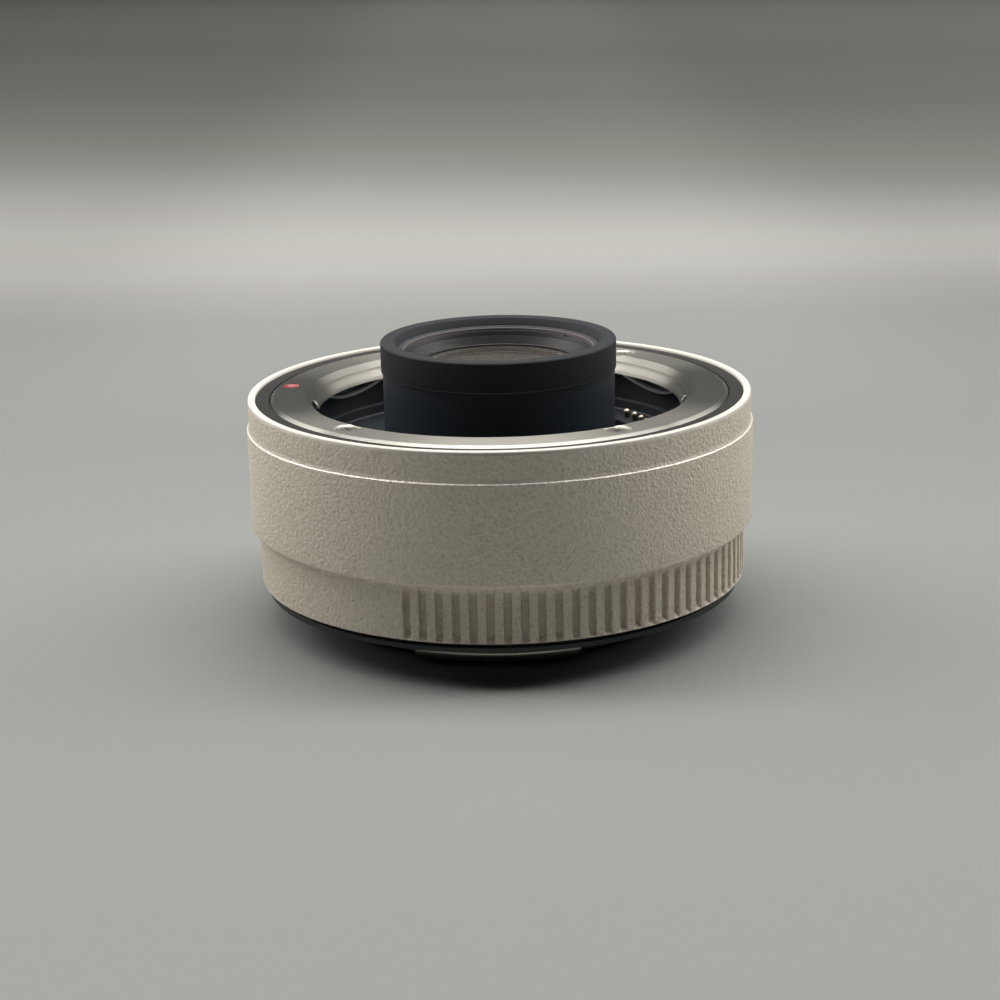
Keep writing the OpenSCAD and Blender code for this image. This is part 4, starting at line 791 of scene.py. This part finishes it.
grip = turned("grip_ring", eased([
    (32.55, grip_foot_z), (grip_r, grip_foot_z, 0.14), (grip_r, 6.45)], 4) + [
    Vector((grip_r, 6.6 + 0.15 * k)) for k in range(8)] + [
    Vector((grip_r, 12.45 + 0.15 * k)) for k in range(10)] + eased([
    (grip_r, seam_z, 0.01), (33.05, seam_z), (33.05, 8.0), (31.55, 8.0), (31.55, 7.2), (32.55, 7.2)], 4),
    sorted(flute_angles), fluted)
fitted(grip, crinkle_paint, "white_paint", "grip_ring")
coat(red_enamel, "rear_index_dot")


# Camera mount with its shim and screws
# The bayonet that locks into the camera, turned and milled from stainless steel like the lens mount:
# a flange, a neck and three lugs. A brass shim behind it sets the distance between the mounts.
bore_r, neck_r, tip_r, tip_half = 23.8, 25.3, 27.0, 25.75
rear_turns, rear_screw_r, seat_z = (37, 127, 217, 307), 28.9, 6.45


def tipped(r, z, angle):
    """Cuts the ring below the neck back between the lugs."""
    if z < 2.3 and r > neck_r + 0.01:
        r = min(r, max(neck_r, lug_edge(angle, tip_half, neck_r, tip_r, 0.45) + r - tip_r))
    return r, z


flange = turned("camera_mount", eased([
    (bore_r, 0.9, 0.1), (tip_r, 0.9, 0.16), (tip_r, 2.2, 0.16), (neck_r, 2.2), (neck_r, 5.6, 0.1),
    (32.25, 5.6, 0.04), (32.5, 5.85, 0.04), (32.5, 7.2, 0.05), (bore_r, 7.2, 0.1)], 3),
    lug_turn(tip_half), tipped)
tools = []
for a in rear_turns:
    tools += [rod(rear_screw_r, a, 0.65, 5, 8), rod(rear_screw_r, a, 1.55, 5, seat_z)]
tools.append(rod(rear_screw_r, latch_turn, 1.3, 5, 8))
for tool in tools:
    joined(flange, [tool])

# Milled stainless steel: brighter cut than the lens mount's face, so it mirrors what is close by, with
# cutter marks 0.3 mm apart round the axis.
milled_steel, tree, shader, place = material("milled_stainless_steel", Metallic=1)
marks = add(tree, "ShaderNodeTexNoise", {"Vector": place, "Scale": 1 / 0.0003, "Detail": 2})
tint = add(tree, "ShaderNodeMix", {
    "Factor": marks.outputs["Fac"], 6: linear("#B2AFA9"), 7: linear("#C9C6C0")}, data_type="RGBA")
tree.links.new(tint.outputs[2], shader.inputs["Base Color"])
dull = add(tree, "ShaderNodeMapRange", {"Value": marks.outputs["Fac"], "To Min": 0.1, "To Max": 0.2})
tree.links.new(dull.outputs[0], shader.inputs["Roughness"])
fitted(flange, milled_steel, "steel", "camera_mount")

screws = []
rear_head_z = 5.65
for a, spin in zip(rear_turns, (12, 50, 75, 33)):
    made = screw("camera_mount_screws", eased([
        (0, -9.2), (0.55, -9.2, 0.15), (0.55, -seat_z), (1.5, -seat_z, 0.05), (1.5, -rear_head_z, 0.18),
        (0, -rear_head_z)], 3), rear_screw_r, -a, spin, 1.5, -rear_head_z, 0.42)
    made.data.transform(Matrix.Rotation(pi, 4, "X"))
    screws.append(made)
fitted(gathered(screws, "camera_mount_screws"), nickel_plate, "screw_steel", "camera_mount_screws")

# Rolled brass: dull yellow with fine rolling lines.
brass, tree, shader, place = material("rolled_brass", Metallic=1)
lines = add(tree, "ShaderNodeTexWave", {"Vector": place, "Scale": 1 / 0.0006, "Distortion": 2})
tint = add(tree, "ShaderNodeMix", {
    "Factor": lines.outputs["Fac"], 6: linear("#A98A45"), 7: linear("#C8AA62")}, data_type="RGBA")
tree.links.new(tint.outputs[2], shader.inputs["Base Color"])
shader.inputs["Roughness"].default_value = 0.35
coat(brass, "mount_shim")


# Mount seal
# The black lip round the camera flange, which keeps dust and rain out of the joint. It is moulded from
# a firm rubber, smoother than the ring on the lens tube.
seal = turned("mount_gasket", eased([
    (32.55, 6.3), (32.55, 5.8), (34.0, 4.8, 0.12), (34.4, 4.8, 0.12), (34.4, 5.6, 0.15), (33.85, 5.6, 0.08),
    (33.85, 6.3)]))
# Smooth black rubber: a satin shine that turns grey towards the sides, with faint 0.4 mm flow marks.
seal_rubber, tree, shader, place = material("smooth_black_rubber", IOR=1.55)
flow = add(tree, "ShaderNodeTexNoise", {"Vector": place, "Scale": 1 / 0.0004, "Detail": 2})
tint = add(tree, "ShaderNodeMix", {
    "Factor": flow.outputs["Fac"], 6: linear("#101416"), 7: linear("#1C2123")}, data_type="RGBA")
tree.links.new(tint.outputs[2], shader.inputs["Base Color"])
dull = add(tree, "ShaderNodeMapRange", {"Value": flow.outputs["Fac"], "To Min": 0.4, "To Max": 0.55})
tree.links.new(dull.outputs[0], shader.inputs["Roughness"])
fitted(seal, seal_rubber, "rubber", "mount_gasket")


# Rear cover and rear contacts
# The moulded skirt that the part stands on, with the light window in its plate, and the block whose
# gold pads meet the camera's pins. Two screws hold the block to the cover's shelf.
coat(polycarbonate, "rear_baffle", "rear_contact_block")


# Studio
# A pale grey table under a wide soft lamp, above and a little behind the part, so that the rim and the
# steel catch it while the table lights the front of the barrel. A narrow lamp above the front lights the
# ledge, one further back softens the shadow, and two on each side fill in.
bpy.ops.mesh.primitive_circle_add(vertices=96, radius=3, fill_type="NGON")
table = bpy.context.object
table.name = "table"
# Painted board: grey with a fine mottle. A painted pool of light brightens it behind the part, with a
# slanting far edge, and painted shade darkens it far behind and a little to the sides.
painted_board, tree, shader, place = material(
    "painted_board", IOR=1.45, Roughness=0.8, Specular_IOR_Level=0.2)
parts = add(tree, "ShaderNodeSeparateXYZ", {"Vector": place})
mottle = add(tree, "ShaderNodeTexNoise", {"Vector": place, "Scale": 1 / 0.0015, "Detail": 2})
slant = add(tree, "ShaderNodeMapRange", {
    "Value": parts.outputs["Y"], "From Min": 0.28, "From Max": 0.42, "To Min": 0, "To Max": 0.3})
far = add(tree, "ShaderNodeMath", {
    0: parts.outputs["X"], 1: slant.outputs[0], 2: parts.outputs["Y"]}, operation="MULTIPLY_ADD")
depth = add(tree, "ShaderNodeMapRange", {"Value": far.outputs[0], "From Min": -0.2, "From Max": 1.6})
ramp = add(tree, "ShaderNodeValToRGB", {"Fac": depth.outputs[0]})
# Painted light: these bands paint the lamp's pool and the darker floor round it into the board.
bands = ((-0.2, "#9FA09F"), (-0.1, "#989A98"), (0, "#959895"), (0.1, "#8E908E"), (0.17, "#919290"),
         (0.215, "#929491"), (0.24, "#999A99"), (0.26, "#A19F9E"), (0.285, "#A8A8A7"),
         (0.31, "#ADAAA7"), (0.335, "#ABABA7"), (0.36, "#A8A6A3"), (0.39, "#A1A09E"),
         (0.43, "#979894"), (0.48, "#898B89"), (0.54, "#82857E"), (0.62, "#7E807B"), (0.75, "#7D7F7A"),
         (1, "#8E918C"), (1.4, "#C3C6C0"))
while len(ramp.color_ramp.elements) < len(bands):
    ramp.color_ramp.elements.new(0.5)
for stop, (at, code) in zip(ramp.color_ramp.elements, bands):
    stop.position = (at + 0.2) / 1.8
    stop.color = linear(code)
# Painted shade: the board is darkened a little to the sides of the pool, just behind the part.
aside = add(tree, "ShaderNodeMath", {0: parts.outputs["X"]}, operation="ABSOLUTE")
reach = add(tree, "ShaderNodeMapRange", {
    "Value": parts.outputs["Y"], "From Min": 0.1, "From Max": 0.24, "To Min": 0.03, "To Max": 0.17})
fall = add(tree, "ShaderNodeMapRange", {
    "Value": aside.outputs[0], "From Min": 0.05, "From Max": 0.13}, interpolation_type="SMOOTHSTEP")
dim = add(tree, "ShaderNodeMath", {0: fall.outputs[0], 1: reach.outputs[0]}, operation="MULTIPLY")
pale = add(tree, "ShaderNodeMapRange", {"Value": mottle.outputs["Fac"], "To Min": 0.98, "To Max": 1.02})
shade = add(tree, "ShaderNodeMath", {0: pale.outputs[0], 1: dim.outputs[0]}, operation="SUBTRACT")
painted_pool = add(tree, "ShaderNodeMix", {
    "Factor": 1.0, 6: ramp.outputs["Color"], 7: shade.outputs[0]}, data_type="RGBA", blend_type="MULTIPLY")
tree.links.new(painted_pool.outputs[2], shader.inputs["Base Color"])
table.data.materials.append(painted_board)


def lamp(name, place, aim, size, power, colour="#FFFDFA"):
    """A soft rectangular lamp that faces a point."""
    light = bpy.data.lights.new(name, "AREA")
    light.shape, light.size, light.size_y = "RECTANGLE", *size
    light.energy, light.color = power, linear(colour)[:3]
    made = bpy.data.objects.new(name, light)
    made.location = place
    made.rotation_euler = (Vector(aim) - Vector(place)).to_track_quat("-Z", "Y").to_euler()
    bpy.context.scene.collection.objects.link(made)


lamp("overhead", (0, 0.12, 0.75), (0, 0.34, 0), (2.4, 0.28), 12.2)
lamp("front", (0, -0.035, 0.75), (0, 0, 0), (0.8, 0.08), 1.1)
lamp("middle", (0, 0.42, 0.72), (0, 0.1, 0), (0.3, 0.5), 0.4)
for side, power in ((-1, 2.6), (1, 2.0)):
    lamp("side", (side * 0.9, 0.22, 0.5), (0, 0, 0.03), (0.3, 0.5), 1.3)
    lamp("back", (side * 0.85, 0.7, 0.6), (0, 0, 0.03), (0.6, 0.6), power)

# The room is dim in front of the part and paler behind it.
world = bpy.data.worlds.new("studio")
bpy.context.scene.world = world
world.use_nodes = True
room = world.node_tree
parts = add(room, "ShaderNodeSeparateXYZ", {"Vector": add(room, "ShaderNodeTexCoord").outputs["Generated"]})
behind = add(room, "ShaderNodeMapRange", {"Value": parts.outputs["Y"], "From Min": -0.1, "From Max": 0.7})
tone = add(room, "ShaderNodeMix", {
    "Factor": behind.outputs[0], 6: linear("#101112"), 7: linear("#6C6D6C")}, data_type="RGBA")
room.links.new(tone.outputs[2], room.nodes["Background"].inputs["Color"])

# The camera stands in front of the part and looks 16 degrees down on it, with a tilt of 1.3 degrees.
eye = bpy.data.cameras.new("camera")
eye.lens, eye.sensor_width, eye.clip_start = 80.166, 36, 0.01
camera = bpy.data.objects.new("camera", eye)
eye_place, down, tilt = (-0.0002177, -0.313010, 0.105994), radians(16.0228), radians(-1.2532)
ahead = Vector((0, cos(down), -sin(down)))
level = Vector((1, 0, 0))
above = level.cross(ahead)
across = cos(tilt) * level + sin(tilt) * above
upright = cos(tilt) * above - sin(tilt) * level
camera.matrix_world = Matrix.Translation(eye_place) @ Matrix(
    (across, upright, -ahead)).transposed().to_4x4()
bpy.context.scene.collection.objects.link(camera)
bpy.context.scene.camera = camera
bpy.context.scene.view_settings.view_transform = "Standard"
